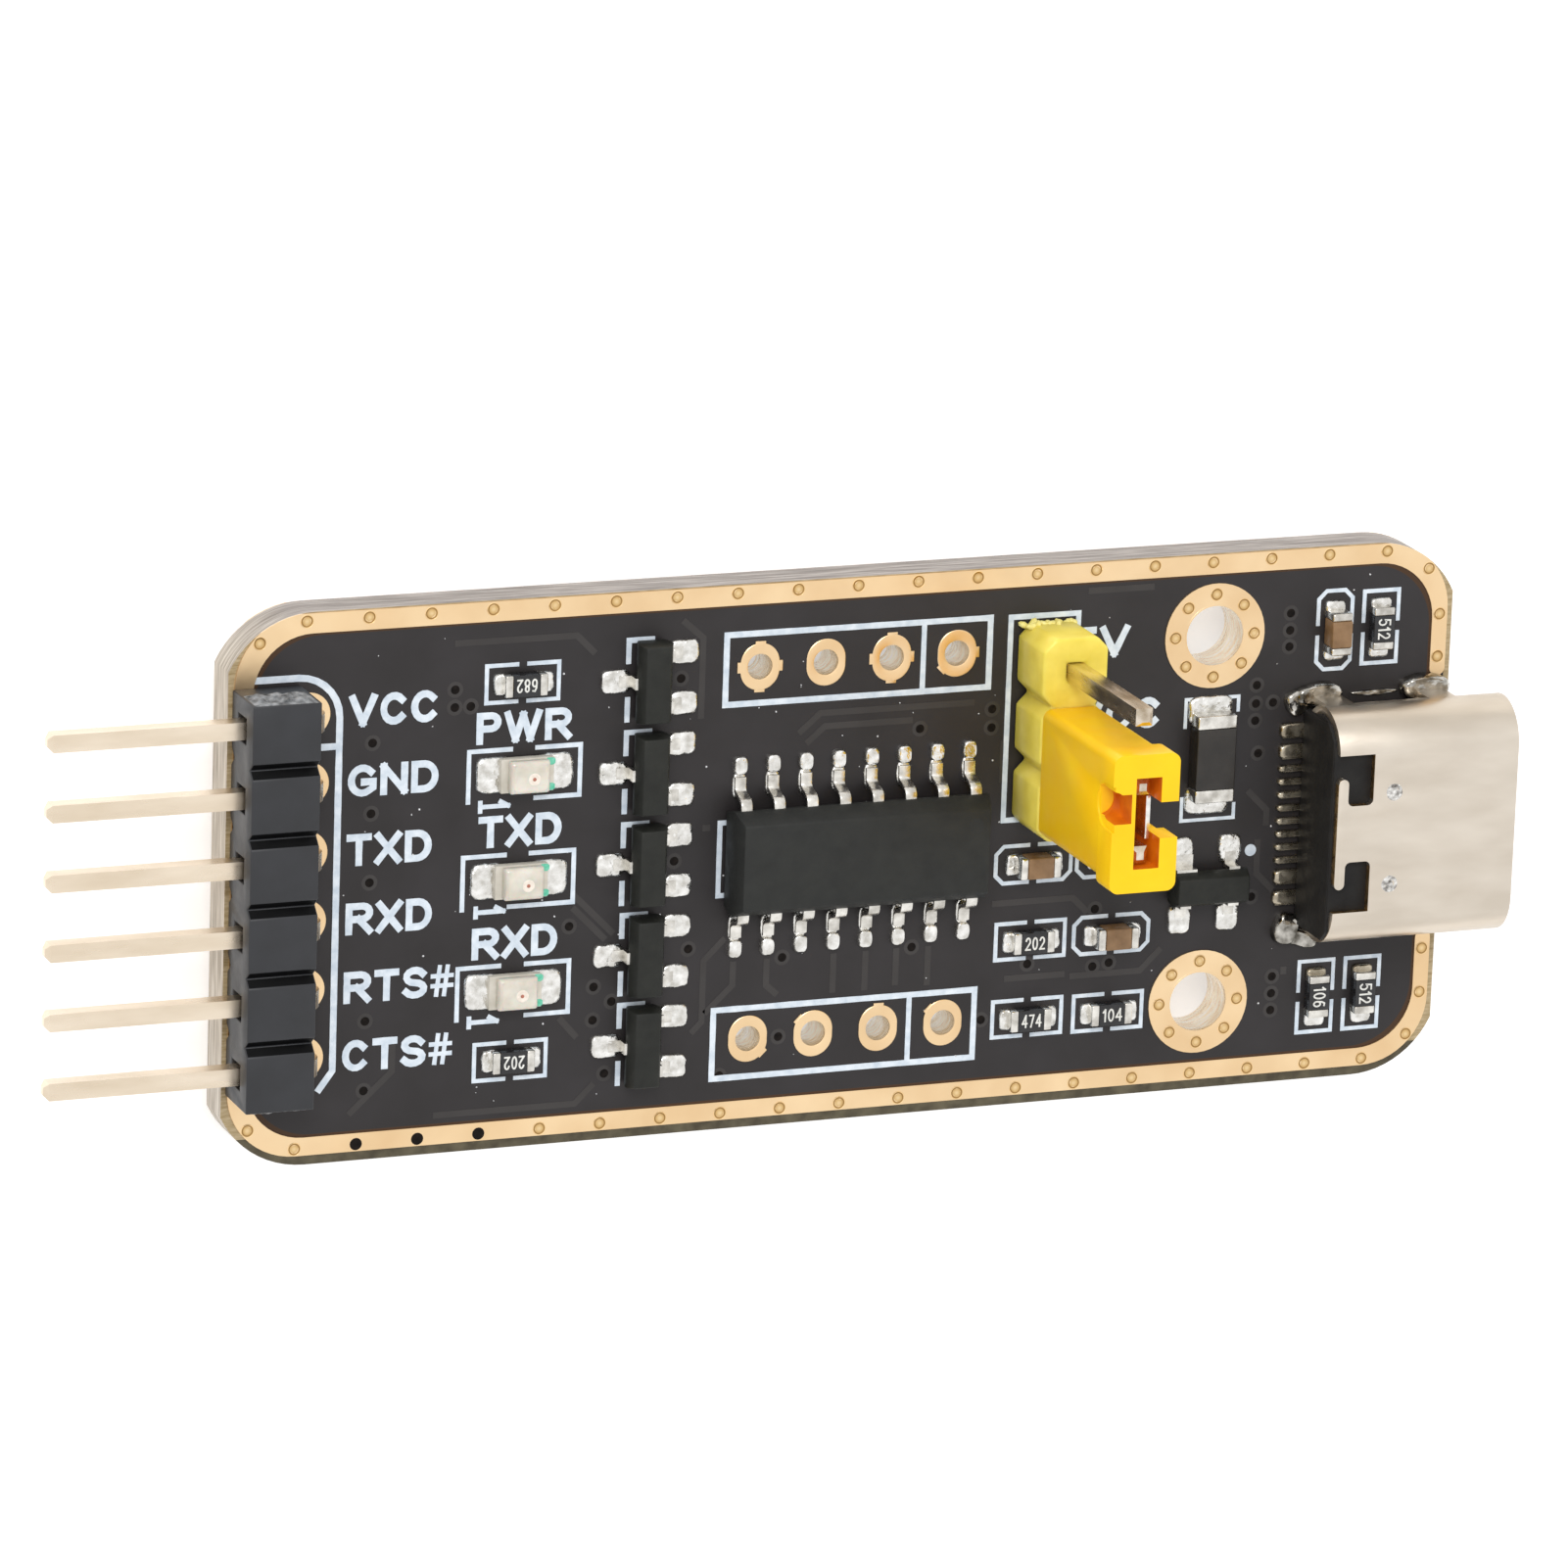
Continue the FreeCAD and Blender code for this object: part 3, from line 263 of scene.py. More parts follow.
# %% The cut edge and the covered copper
edge = Finish("board_edge", Specular_IOR_Level=0.3)
fibres = edge.grain(0.35, (0.16, 0.16, 3.4), detail=5.0)
steps = (0.3, 0.5, 0.7)
END_TONES = ((150, 138, 122), (190, 179, 164), (222, 213, 200))
SIDE_TONES = ((112, 104, 98), (152, 144, 138), (190, 182, 176))
END_BEGINS, END_FULL = 21.2, 24.0
short_side = edge.ramp(fibres, *zip(steps, END_TONES))
long_side = edge.ramp(fibres, *zip(steps, SIDE_TONES))
from_middle = edge.sum("SUBTRACT", edge.part(edge.place, 0), at(RING_CENTRE[0], 0).x)
along = edge.sum("ABSOLUTE", from_middle)
near_end = edge.between(along, 0.0, 1.0, END_BEGINS * MM, END_FULL * MM)
edge.set("Base Color", edge.mixed(near_end, long_side, short_side))
edge.set("Roughness", edge.between(fibres, 0.5, 0.75))
edge.relief(edge.grain(0.12, (0.3, 0.3, 2.5)), 0.012)
trace = finish(
    "covered_track", (54, 51, 50), (61, 58, 57), 1.5, (0.34, 0.46), 0.25, 0.001,
    Specular_IOR_Level=0.32,
)
print("board finishes:", edge.material.name, "and", trace.material.name)

# %% [markdown]
# The bare copper is plated with a thin layer of gold. It lies on a slightly
# uneven tinned surface, so it shines softly, with paler and browner patches.
# Pressed marks in it are too small for the lamp alone to show them, so they
# carry a painted shade and a painted highlight in their own mesh: dark at the
# foot of the bowl and bright on its rim.

# %% Gold
gold = finish(
    "gold_plate", (236, 202, 156), (250, 220, 176), 2.6, (0.3, 0.42), 0.3, 0.003,
    metal=1.0,
)
# Painted sheen: the barrels' gold is painted pale, almost white, in rings up the wall, standing
# in for the highlights in the holes.
barrel_gold_sheen = finish(
    "plated_hole_painted_sheen", (232, 212, 180), (255, 250, 240), 0.4, (0.14, 0.3), 0.16, 0.03,
    stretch=(0.4, 0.4, 2.0), metal=1.0,
)
# Painted shade and painted highlight of the dimples, read from their mesh's shade.
pressed = Finish("pressed_gold_painted_shade", metal=1.0)
shade = pressed.add("ShaderNodeAttribute", {}, attribute_name="shade").outputs["Fac"]
mottled_shade = pressed.sum("ADD", shade, pressed.sum("MULTIPLY", pressed.grain(0.2), 0.15))
pressed.set(
    "Base Color",
    pressed.ramp(
        mottled_shade, (0.1, (252, 224, 176)), (0.5, (220, 184, 126)), (0.95, (146, 106, 56))
    ),
)
pressed.set("Roughness", pressed.between(mottled_shade, 0.3, 0.45))
pressed.relief(pressed.grain(0.1), 0.002)
print("gold made, with the barrels' and the dimples' finish")

# %% [markdown]
# Solder is bright and sets in wrinkles. The machine-made pools are pale and
# finely crinkled, the drops laid by hand are smoother, with dark patches
# painted in as a painted reflection of the dark board beside them, and the
# cones below are duller. The leads of the chips are only dipped in tin, so
# their skin is thin and even.

# %% Solder and tin
solder = finish(
    "solder", (202, 199, 192), (255, 254, 251), 0.34, (0.14, 0.32), 0.3, 0.06,
    metal=1.0,
)
# Painted reflection: the dark lower tone stands for the dark board mirrored in the drops.
drop = finish(
    "hand_solder_painted_reflection", (92, 88, 80), (226, 222, 214), 0.5, (0.08, 0.22), 0.6, 0.06,
    metal=1.0,
)
tin = finish(
    "tinned_lead", (186, 182, 174), (248, 245, 238), 0.45, (0.18, 0.34), 0.2, 0.01,
    metal=1.0,
)
tail = finish(
    "tail_solder", (150, 148, 144), (214, 212, 208), 0.4, (0.16, 0.3), 0.3, 0.02,
    metal=1.0,
)
print("solder made in three kinds, and tin")

# %% [markdown]
# The pins are drawn from square wire, so their grain runs along them. The
# shell is rolled sheet with a warm nickel skin, brushed along its length. Its
# sides curve down to the board and mirror it, so their tone is painted
# darker there: a painted reflection of the dark board. Where the press cut
# the sheet or dented it, other tones show.

# %% Pins, shell and clip
pin_metal = finish(
    "pin_plate", (226, 209, 185), (242, 227, 206), 0.8, (0.24, 0.36), 0.25, 0.003,
    stretch=(0.25, 1, 1), metal=1.0,
)
post_metal = finish(
    "post_plate", (176, 160, 136), (236, 224, 208), 0.5, (0.16, 0.3), 0.25, 0.004,
    stretch=(1, 1, 0.25), metal=1.0,
)
shell_metal = Finish("shell_nickel", metal=1.0)
BRUSHED = (0.35, 1, 1)
SHELL_MIDDLE, REFLECTION_BEGINS, REFLECTION_FULL = -6.98, 3.4, 4.2
plain = shell_metal.ramp(
    shell_metal.grain(1.1, BRUSHED), (0.3, (213, 202, 187)), (0.7, (227, 217, 203))
)
off_middle = shell_metal.sum(
    "SUBTRACT", shell_metal.part(shell_metal.place, 1), at(0, SHELL_MIDDLE).y
)
off_middle = shell_metal.sum("ABSOLUTE", off_middle)
# Painted reflection: the tone darkens towards the shell's curved sides, where they mirror the
# dark board.
side_reflection = shell_metal.between(off_middle, 0.0, 0.45, REFLECTION_BEGINS * MM, REFLECTION_FULL * MM)
shell_metal.set("Base Color", shell_metal.mixed(side_reflection, plain, (166, 150, 128)))
shell_metal.set(
    "Roughness", shell_metal.between(shell_metal.grain(0.7, BRUSHED), 0.28, 0.42)
)
shell_metal.relief(shell_metal.grain(0.12, BRUSHED), 0.004)
shell_cut = finish(
    "shell_cut", (176, 140, 88), (226, 192, 136), 0.4, (0.25, 0.45), 0.1, 0.006,
    metal=1.0,
)
shell_ding = finish(
    "shell_mark", (96, 90, 84), (252, 250, 246), 0.16, (0.1, 0.26), 0.14, 0.04,
    metal=1.0,
)
lead_metal = finish(
    "socket_lead", (132, 122, 104), (206, 196, 176), 0.6, (0.2, 0.36), 0.4, 0.012,
    metal=1.0,
)
clip_metal = finish(
    "clip_steel", (206, 204, 200), (250, 248, 244), 0.4, (0.16, 0.3), 0.2, 0.006,
    metal=1.0,
)
print("sheet and wire made, such as", shell_metal.material.name)

# %% [markdown]
# The black plastics differ in gloss: the header's housing is smooth, its
# notches lie in their own shade, and a snapped end is pale and rough. The
# yellow block under the jumper is pale and lets light in, which the
# subsurface share gives. The cap is dyed right through; where its walls light
# each other it is painted a darker orange for their shade and glows faintly,
# a painted glow for the light bounced between them.

# %% Plastics
housing = finish(
    "housing_plastic", (34, 35, 38), (41, 42, 46), 1.4, (0.36, 0.5), 0.18, 0.005
)
notch = finish(
    "housing_notch", (5, 5, 6), (10, 10, 11), 0.8, (0.35, 0.55), 0.18, 0.004,
    Specular_IOR_Level=0.1,
)
broken = finish(
    "broken_plastic", (56, 58, 60), (158, 160, 162), 0.28, (0.5, 0.75), 0.12, 0.05
)
block = finish(
    "block_plastic", (222, 200, 70), (240, 220, 96), 1.1, (0.3, 0.45), 0.3, 0.004,
    Subsurface_Weight=0.35, Subsurface_Scale=0.0006, Subsurface_Radius=(1.0, 0.9, 0.3),
)
cap = finish(
    "cap_plastic", (255, 198, 6), (255, 208, 16), 1.8, (0.3, 0.42), 0.5, 0.003,
    Specular_IOR_Level=0.35,
)
# Painted shade and painted glow of the cap's inner walls.
cap_shade_and_glow = finish(
    "cap_shade_and_glow", (176, 80, 6), (212, 116, 14), 0.7, (0.3, 0.45), 0.4, 0.003,
    Specular_IOR_Level=0.35, Emission_Color=tint(196, 84, 8), Emission_Strength=0.2,
)
crumb = finish(
    "torn_plastic", (232, 216, 110), (250, 240, 160), 0.15, (0.5, 0.7), 0.08, 0.03
)
print("plastics made:", cap.material.name, block.material.name, housing.material.name)

# %% [markdown]
# Chips are moulded in a mineral-filled resin that the mould leaves matt. The
# fuse is dipped, the resistors carry a glassy coat, the capacitors are bare
# fired ceramic, and a lamp is clear resin on a pale carrier. Each one gets its
# own tones and gloss, because these small bodies differ mostly in those.

# %% Mouldings, lamps and ceramics
core = finish(
    "core_plastic", (27, 26, 26), (36, 35, 34), 0.8, (0.5, 0.66), 0.2, 0.01,
    Specular_IOR_Level=0.2,
)
moulding = finish(
    "chip_moulding", (35, 36, 35), (41, 42, 40), 0.8, (0.5, 0.66), 0.07, 0.005,
    Specular_IOR_Level=0.3,
)
small_moulding = finish(
    "small_moulding", (28, 29, 26), (36, 37, 33), 0.6, (0.42, 0.6), 0.07, 0.006,
    Specular_IOR_Level=0.3,
)
fuse_coat = finish(
    "fuse_coat", (30, 27, 24), (42, 38, 34), 0.7, (0.3, 0.46), 0.15, 0.008
)
carrier = finish(
    "lamp_carrier", (196, 190, 176), (216, 210, 198), 0.5, (0.3, 0.5), 0.15, 0.01
)
resin = finish(
    "lamp_resin", (204, 198, 184), (226, 220, 208), 0.7, (0.12, 0.24), 0.3, 0.006,
    Subsurface_Weight=0.4, Subsurface_Scale=0.0004, Coat_Weight=0.4,
)
glaze = finish(
    "resistor_glaze", (26, 26, 28), (40, 40, 42), 0.4, (0.18, 0.34), 0.15, 0.008
)
ceramic = finish(
    "capacitor_ceramic", (122, 92, 60), (146, 114, 80), 0.5, (0.3, 0.46), 0.12, 0.006
)
print("small bodies made, such as", ceramic.material.name)

# %% [markdown]
# The print is a matt bluish white, the resistors' digits a warmer one. The
# rest are the tiny marks that make a board look used and real: the lamps'
# teal corners, cup and die, the dark dots of painted shade in the vias'
# holes, and light dust.

# %% Ink and small marks
ink = finish("silk_ink", (196, 208, 220), (226, 234, 242), 0.35, (0.5, 0.7), 0.1, 0.006)
digit_ink = finish(
    "digit_ink", (206, 206, 200), (238, 238, 232), 0.2, (0.4, 0.6), 0.08, 0.004
)
teal = finish("teal_mark", (74, 182, 146), (128, 208, 182), 0.15, (0.3, 0.5), 0.1, 0.004)
cup = finish("lamp_cup", (226, 214, 200), (244, 234, 222), 0.15, (0.2, 0.3), 0.1, 0.004)
red = finish("die_mark", (150, 92, 76), (186, 120, 98), 0.1, (0.3, 0.5), 0.1, 0.004)
# Painted shade: these dark dots stand in for the shade in the vias' holes.
hole_shade = finish(
    "painted_hole_shade", (14, 12, 11), (30, 25, 22), 0.16, (0.4, 0.6), 0.1, 0.004,
    Specular_IOR_Level=0.08,
)
dust = finish("dust", (190, 190, 192), (244, 244, 246), 0.1, (0.3, 0.6), 0.05, 0.01)
print("materials in all:", len(bpy.data.materials))

# %% [markdown]
# A solid from the drawing has knife-sharp edges, and a moulded or pressed one
# never has. So each visible solid is copied, its doubled corners are joined,
# its flat triangles are made whole faces, and its edges get a small rounding
# that catches the light. A bevel modifier would do the same, but rounding in
# the mesh lets the next steps choose single edges and faces.


# %% Short calls for meshes
def made(name, work, finishes, slot=None, body="adapter", sharp=38.0, flat=None):
    """The worked mesh as a piece; its faces of over flat square mm are not smoothed."""
    mesh = bpy.data.meshes.new(name)
    work.to_mesh(mesh)
    work.free()
    for each in finishes:
        mesh.materials.append(each.material)
    for polygon in mesh.polygons:
        polygon.use_smooth = not flat or polygon.area < flat * MM**2
    mesh.set_sharp_from_angle(angle=math.radians(sharp))
    piece = bpy.data.objects.new(name, mesh)
    bpy.context.scene.collection.objects.link(piece)
    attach(piece, body)
    return piece


def skin(work, rings, loop=False):
    """Faces from ring to ring, closed by a lid at each end or back to the first."""
    following = rings[1:] + rings[:1] if loop else rings[1:]
    for here, there in zip(rings, following):
        for k in range(len(here)):
            j = (k + 1) % len(here)
            work.faces.new((here[k], here[j], there[j], there[k]))
    if not loop:
        work.faces.new(rings[0])
        work.faces.new(reversed(rings[-1]))


def outwards(work):
    """Turns every face to the outside of its closed form."""
    bmesh.ops.recalc_face_normals(work, faces=work.faces)


def merged(node):
    """A copy of a solid's mesh, closed and without needless edges."""
    work = bmesh.new()
    work.from_mesh(NODES[node].data)
    bmesh.ops.remove_doubles(work, verts=work.verts, dist=0.0005 * MM)
    bmesh.ops.dissolve_limit(
        work, angle_limit=math.radians(0.5), verts=work.verts, edges=work.edges
    )
    outwards(work)
    return work


def round_edges(work, width, angle=32.0, segments=2):
    """Rounds each edge whose faces meet at more than the angle."""
    least = math.radians(angle)
    edges = [
        e
        for e in work.edges
        if len(e.link_faces) == 2 and e.calc_face_angle(0.0) > least
    ]
    bmesh.ops.bevel(
        work,
        geom=edges,
        offset=width * MM,
        segments=segments,
        profile=0.5,
        affect="EDGES",
        clamp_overlap=True,
    )


def softened(node, width, finish, slot, body="adapter", draft=0.0):
    """A solid with rounded edges, its top drawn in by the draft of its mould."""
    work = merged(node)
    low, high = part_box(node)
    middle = (low + high) / 2
    upper = [v for v in work.verts if draft and v.co.z > high.z - 0.02 * MM]
    for vertex in upper:
        for axis in range(2):
            side = vertex.co[axis] - middle[axis]
            vertex.co[axis] -= math.copysign(draft * MM, side)
    round_edges(work, width)
    piece = made(node + "_soft", work, [finish], slot, body, flat=0.8)
    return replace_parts(piece, node)


def dressed(node, finish):
    """Keeps a solid as it is and gives it a finish."""
    mesh = NODES[node].data
    mesh.materials.clear()
    mesh.materials.append(finish.material)


# %% [markdown]
# The board keeps its drawn shape. Its faces take one of three finishes: mask
# on the two large faces, glass fibre on the outside edge, and plating on the
# walls of the holes. One piece with three finishes keeps the corner between
# them as sharp as the saw and the drill left it.

# %% The board
GRID, ROW_DROP = 2.54, 13.97
MOUNT_HOLES = [(7 * GRID, 0.0), (7 * GRID, -ROW_DROP)]
SPARE_HOLES = [(GRID * k, y) for y in (0.0, -ROW_DROP) for k in range(4)]
NEAR_MOUNT, NEAR_SPARE = 1.4, 0.7

board_mesh = merged("board")
for face in board_mesh.faces:
    spot = (face.calc_center_median() - FIRST_HOLE) / MM
    if abs(face.normal.z) > 0.5:
        face.material_index = 0
        continue
    near_hole = any(
        math.dist(spot.xy, hole) < reach
        for holes, reach in ((MOUNT_HOLES, NEAR_MOUNT), (SPARE_HOLES, NEAR_SPARE))
        for hole in holes
    )
    face.material_index = 2 if near_hole else 1
board_finishes = [mask, edge, barrel_gold_sheen]
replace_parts(made("board_faced", board_mesh, board_finishes, "laminate"), "board")
for node in ("border_bottom", "mount_ring_1", "mount_ring_2"):
    dressed(node, gold)
print("board faced; holes:", len(MOUNT_HOLES), "and", len(SPARE_HOLES))

# %% [markdown]
# The gold border is a flat band of plated copper. Along the front it keeps a
# little further from the sawn edge than behind, so the outer edge of the
# drawn band is moved in there, and less and less round the two corners.


# %% The gold border
def outside_ring(x, y):
    """How far a point lies outside the ring that the border's outer edge follows."""
    reach = [
        max(0.0, abs(v - RING_CENTRE[k]) - (RING_HALF[k] - RING_ROUND))
        for k, v in enumerate((x, y))
    ]
    return math.hypot(*reach) - RING_ROUND


DRAWN_IN, DRAWN_FROM, DRAWN_FULL, OUTER_EDGE = 0.06, -13.6, 3.2, -0.25
border = merged("border_top")
moved = 0
for vertex in border.verts:
    spot = (vertex.co - FIRST_HOLE) / MM
    if spot.y < DRAWN_FROM and outside_ring(spot.x, spot.y) > OUTER_EDGE:
        vertex.co.y += DRAWN_IN * MM * min(1.0, (DRAWN_FROM - spot.y) / DRAWN_FULL)
        moved += 1
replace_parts(made("border_drawn", border, [gold], "gold"), "border_top")
print("corners of the border moved in:", moved)

# %% [markdown]
# The parts that stand on the board get their roundings. The widths follow how
# each one is made: a moulded block has soft corners and a chip crisp ones.
# Chips also narrow a little towards the top, so that they leave their mould,
# and that slope shows as a thin band along each edge.

# %% Rounding what stands on the board
SOFT = [
    ("jumper_block", 0.12, block, "block_plastic"),
    ("bridge_chip", 0.05, moulding, "moulding"),
    ("surge_array", 0.05, small_moulding, "moulding"),
    ("fuse_body", 0.05, fuse_coat, "fuse_coat"),
    ("fuse_ends", 0.06, tin, "tin"),
    ("usb_core", 0.05, core, "core_plastic"),
    ("resistors", 0.02, glaze, "resistor_glaze"),
    ("resistor_ends", 0.05, tin, "tin"),
    ("capacitors", 0.05, ceramic, "capacitor_ceramic"),
    ("capacitor_ends", 0.07, tin, "tin"),
]
for number in range(1, 6):
    SOFT.append((f"transistor_{number}", 0.05, small_moulding, "moulding"))
for use in ("power", "send", "receive"):
    SOFT.append((f"lamp_base_{use}", 0.03, carrier, "lamp_carrier"))
    SOFT.append((f"lamp_lens_{use}", 0.07, resin, "lamp_resin"))
CHIP_DRAFT, SMALL_DRAFT = 0.2, 0.07
for node, width, finish_of, slot in SOFT:
    draft = SMALL_DRAFT if slot == "moulding" else 0.0
    if node == "bridge_chip":
        draft = CHIP_DRAFT
    softened(node, width, finish_of, slot, draft=draft)
softened("jumper_clip", 0.02, clip_metal, "clip_metal", body="cap")
for node in NODES:
    if node.startswith("header_pin"):
        dressed(node, pin_metal)
    elif node.startswith("jumper_pin"):
        dressed(node, post_metal)
for node in ("header_solder", "jumper_solder"):
    dressed(node, tail)
for node in ("transistor_leads", "surge_array_leads"):
    dressed(node, tin)
dressed("usb_contacts", barrel_gold_sheen)
dressed("usb_leads", lead_metal)
print("softened:", len(SOFT) + 1)

# %% [markdown]
# The header's housing is one long moulding with a notch between two pins,
# where a strip is snapped to length. The notch walls face each other and lie
# in their own shade, so the sloping faces near each notch get the darker
# finish.

# %% The header's housing
FIRST_NOTCH, NOTCH_REACH = -1.917, 0.3
housing_mesh = merged("header_housing")
for face in housing_mesh.faces:
    spot = (face.calc_center_median() - FIRST_HOLE) / MM
    step = (FIRST_NOTCH - spot.y) / GRID
    in_notch = abs(step - round(step)) * GRID < NOTCH_REACH
    if in_notch and 0.2 < abs(face.normal.y) < 0.95:
        face.material_index = 1
round_edges(housing_mesh, 0.06)
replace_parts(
    made(
        "header_housing_soft", housing_mesh, [housing, notch], "housing_plastic",
        flat=0.8,
    ),
    "header_housing",
)

# %% [markdown]
# The cap is a small yellow shell that slips over two pins. Its top is open in
# a slot where the clip shows, and a round-bottomed window in the left wall
# runs into the slot. Moving single corners could open that window, but a
# boolean cut with a round-bottomed prism keeps its outline a true arc.


# %% Cutting with a prism
def cut_away(work, outline, x_from, x_to):
    """Cuts a prism out of the mesh: an outline in y and z, from one x to another."""
    cutter_mesh = bpy.data.meshes.new("cutter")
    knife = bmesh.new()
    sides = (x_from, x_to)
    skin(knife, [[knife.verts.new(at(x, y, z)) for y, z in outline] for x in sides])
    outwards(knife)
    knife.to_mesh(cutter_mesh)
    knife.free()
    body_mesh = bpy.data.meshes.new("cut body")
    work.to_mesh(body_mesh)
    work.free()
    cutter = bpy.data.objects.new("cutter", cutter_mesh)
    target = bpy.data.objects.new("target", body_mesh)
    for each in (cutter, target):
        bpy.context.scene.collection.objects.link(each)
    cut = target.modifiers.new("cut", "BOOLEAN")
    cut.operation, cut.solver, cut.object = "DIFFERENCE", "EXACT", cutter
    graph = bpy.context.evaluated_depsgraph_get()
    result = bpy.data.meshes.new_from_object(target.evaluated_get(graph))
    for each in (cutter, target):
        bpy.data.objects.remove(each)
    fresh = bmesh.new()
    fresh.from_mesh(result)
    bpy.data.meshes.remove(result)
    return fresh


def window(middle, half, bottom, top):
    """A round-bottomed outline in y and z."""
    arc = [math.pi * (1 + k / 12) for k in range(13)]
    round_end = [
        (middle + half * math.cos(a), bottom + half + half * math.sin(a)) for a in arc
    ]
    return [*round_end, (middle + half, top), (middle - half, top)]


# %% [markdown]
# The cap's corners are soft, because the mould is simple and the plastic
# shrinks. The window is cut first and rounded with the rest; then a shallow
# dish is cut round it, where a fingernail grips, and gets a finer rim. The
# walls of the slot and the window are painted a deeper orange, painted shade
# with a faint painted glow for the light that has bounced between them, and
# their uppermost rim stays yellow.

# %% The jumper's cap
cap_low, cap_high = local_box("jumper_cap")
WINDOW_MIDDLE, WINDOW_HALF, WINDOW_BOTTOM = -3.52, 0.54, 8.1
SLOT_LEFT, SLOT_RIGHT, SLOT_BACK, SLOT_FRONT = 10.86, 11.9, -2.3, -5.85
SLOT_WALL, CAP_ROUND = 0.13, 0.15
DISH_WIDER, DISH_DEEP, DISH_ROUND = 0.3, 0.09, 0.04
above, outside = cap_high.z + 0.5, cap_low.x - 0.5
cap_mesh = cut_away(
    merged("jumper_cap"), window(WINDOW_MIDDLE, WINDOW_HALF, WINDOW_BOTTOM, above),
    outside, SLOT_LEFT - SLOT_WALL,
)
round_edges(cap_mesh, CAP_ROUND, segments=3)
dish = window(
    WINDOW_MIDDLE, WINDOW_HALF + DISH_WIDER, WINDOW_BOTTOM - DISH_WIDER, above
)
cap_mesh = cut_away(cap_mesh, dish, outside, cap_low.x + DISH_DEEP)
round_edges(cap_mesh, DISH_ROUND, angle=55.0)
INSIDE_SLOT, INSIDE_WINDOW, RIM_HIGH = 0.35, 0.14, 0.16
for face in cap_mesh.faces:
    spot = (face.calc_center_median() - FIRST_HOLE) / MM
    in_slot = SLOT_FRONT < spot.y < SLOT_BACK and spot.x > SLOT_LEFT - INSIDE_SLOT
    in_window = (
        spot.x > cap_low.x + INSIDE_WINDOW
        and abs(spot.y - WINDOW_MIDDLE) < WINDOW_HALF + 0.02
        and spot.z > WINDOW_BOTTOM - 0.05
    )
    inside = (in_slot or in_window) and spot.x < SLOT_RIGHT
    # These inner faces get the painted shade and painted glow.
    if inside and spot.z < cap_high.z - RIM_HIGH:
        face.material_index = 1
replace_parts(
    made(
        "jumper_cap_soft", cap_mesh, [cap, cap_shade_and_glow], "cap_plastic", body="cap",
        flat=0.6,
    ),
    "jumper_cap",
)
print("cap faces made; window", WINDOW_HALF * 2, "mm wide")

# %% [markdown]
# The socket's shell is pressed from nickel-plated sheet. Where the tool cut
# it, the bare edge shows a warmer metal, so the narrow walls round the rear
# cut-outs get their own finish. A punch can't cut sharp inner corners, so the
# upright corners of the middle tab and of the cut-outs beside it are rounded
# before the fine rounding of all the edges.

# %% The socket's shell
shell_low, shell_high = local_box("usb_shell")
shell_mesh = merged("usb_shell")
SHEET, PUNCH_ROUND = 0.3, 0.2
CUT_REACH = shell_low.x + 3.3
for face in shell_mesh.faces:
    spot = (face.calc_center_median() - FIRST_HOLE) / MM
    in_top = shell_high.z - 1.2 * SHEET < spot.z < shell_high.z - 0.02
    if in_top and abs(face.normal.z) < 0.3 and spot.x < CUT_REACH:
        face.material_index = 1
TAB_SIDES = (-9.09, -8.05, -5.91, -4.89)
corners = []
for line in shell_mesh.edges:
    spots = [(v.co - FIRST_HOLE) / MM for v in line.verts]
    upright = (spots[0].xy - spots[1].xy).length < 0.01
    at_cut = all(s.x < CUT_REACH and s.z > shell_high.z - 1.1 * SHEET for s in spots)
    free = any(abs(spots[0].y - y) < 0.01 for y in TAB_SIDES)
    if upright and at_cut and free and line.calc_face_angle(0.0) > 1.0:
        corners.append(line)
print("corners of the cut-outs:", len(corners))
bmesh.ops.bevel(
    shell_mesh, geom=corners, offset=PUNCH_ROUND * MM, segments=4, profile=0.5,
    affect="EDGES", clamp_overlap=True,
)
round_edges(shell_mesh, 0.03, angle=50.0)
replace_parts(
    made("shell_soft", shell_mesh, [shell_metal, shell_cut], "shell_metal"),
    "usb_shell",
)
print("shell: top", round(shell_high.z, 2), "mm, rear edge at", round(shell_low.x, 2))

# %% [markdown]
# Behind the shell the socket's black insulator ends in a plain upright wall
# with clipped upper corners, and the leads come out at its foot. It closes
# the shell's round opening to the rear, so it is a plate of its own, drawn as
# an outline and given a thickness.

# %% The insulator's rear wall
REAR_X, REAR_THICK, REAR_FOOT = 21.46, 0.3, 0.1
REAR_BACK, REAR_FRONT, REAR_TOP = -2.98, -11.2, 2.86
CLIP_BACK, CLIP_FRONT = 0.55, 0.4
outline = [
    (REAR_FRONT, REAR_FOOT), (REAR_BACK, REAR_FOOT), (REAR_BACK, REAR_TOP - CLIP_BACK),
    (REAR_BACK - CLIP_BACK, REAR_TOP), (REAR_FRONT + CLIP_FRONT, REAR_TOP),
    (REAR_FRONT, REAR_TOP - CLIP_FRONT),
]
work = bmesh.new()
sides = (REAR_X, REAR_X + REAR_THICK)
skin(work, [[work.verts.new(at(x, y, z)) for y, z in outline] for x in sides])
outwards(work)
round_edges(work, 0.06)
made("core_rear", work, [core], "core_plastic")
print("rear wall:", round(REAR_BACK - REAR_FRONT, 2), "mm wide")

# %% [markdown]
# The marks that repeat, such as pressed dimples, covered vias and pools of
# solder, are made once and stamped at a list of places. One Geometry Nodes
# tree does it: it puts the stamp at each point, makes the copies real, and
# pushes their surface in and out with a seeded noise, so no two are alike.


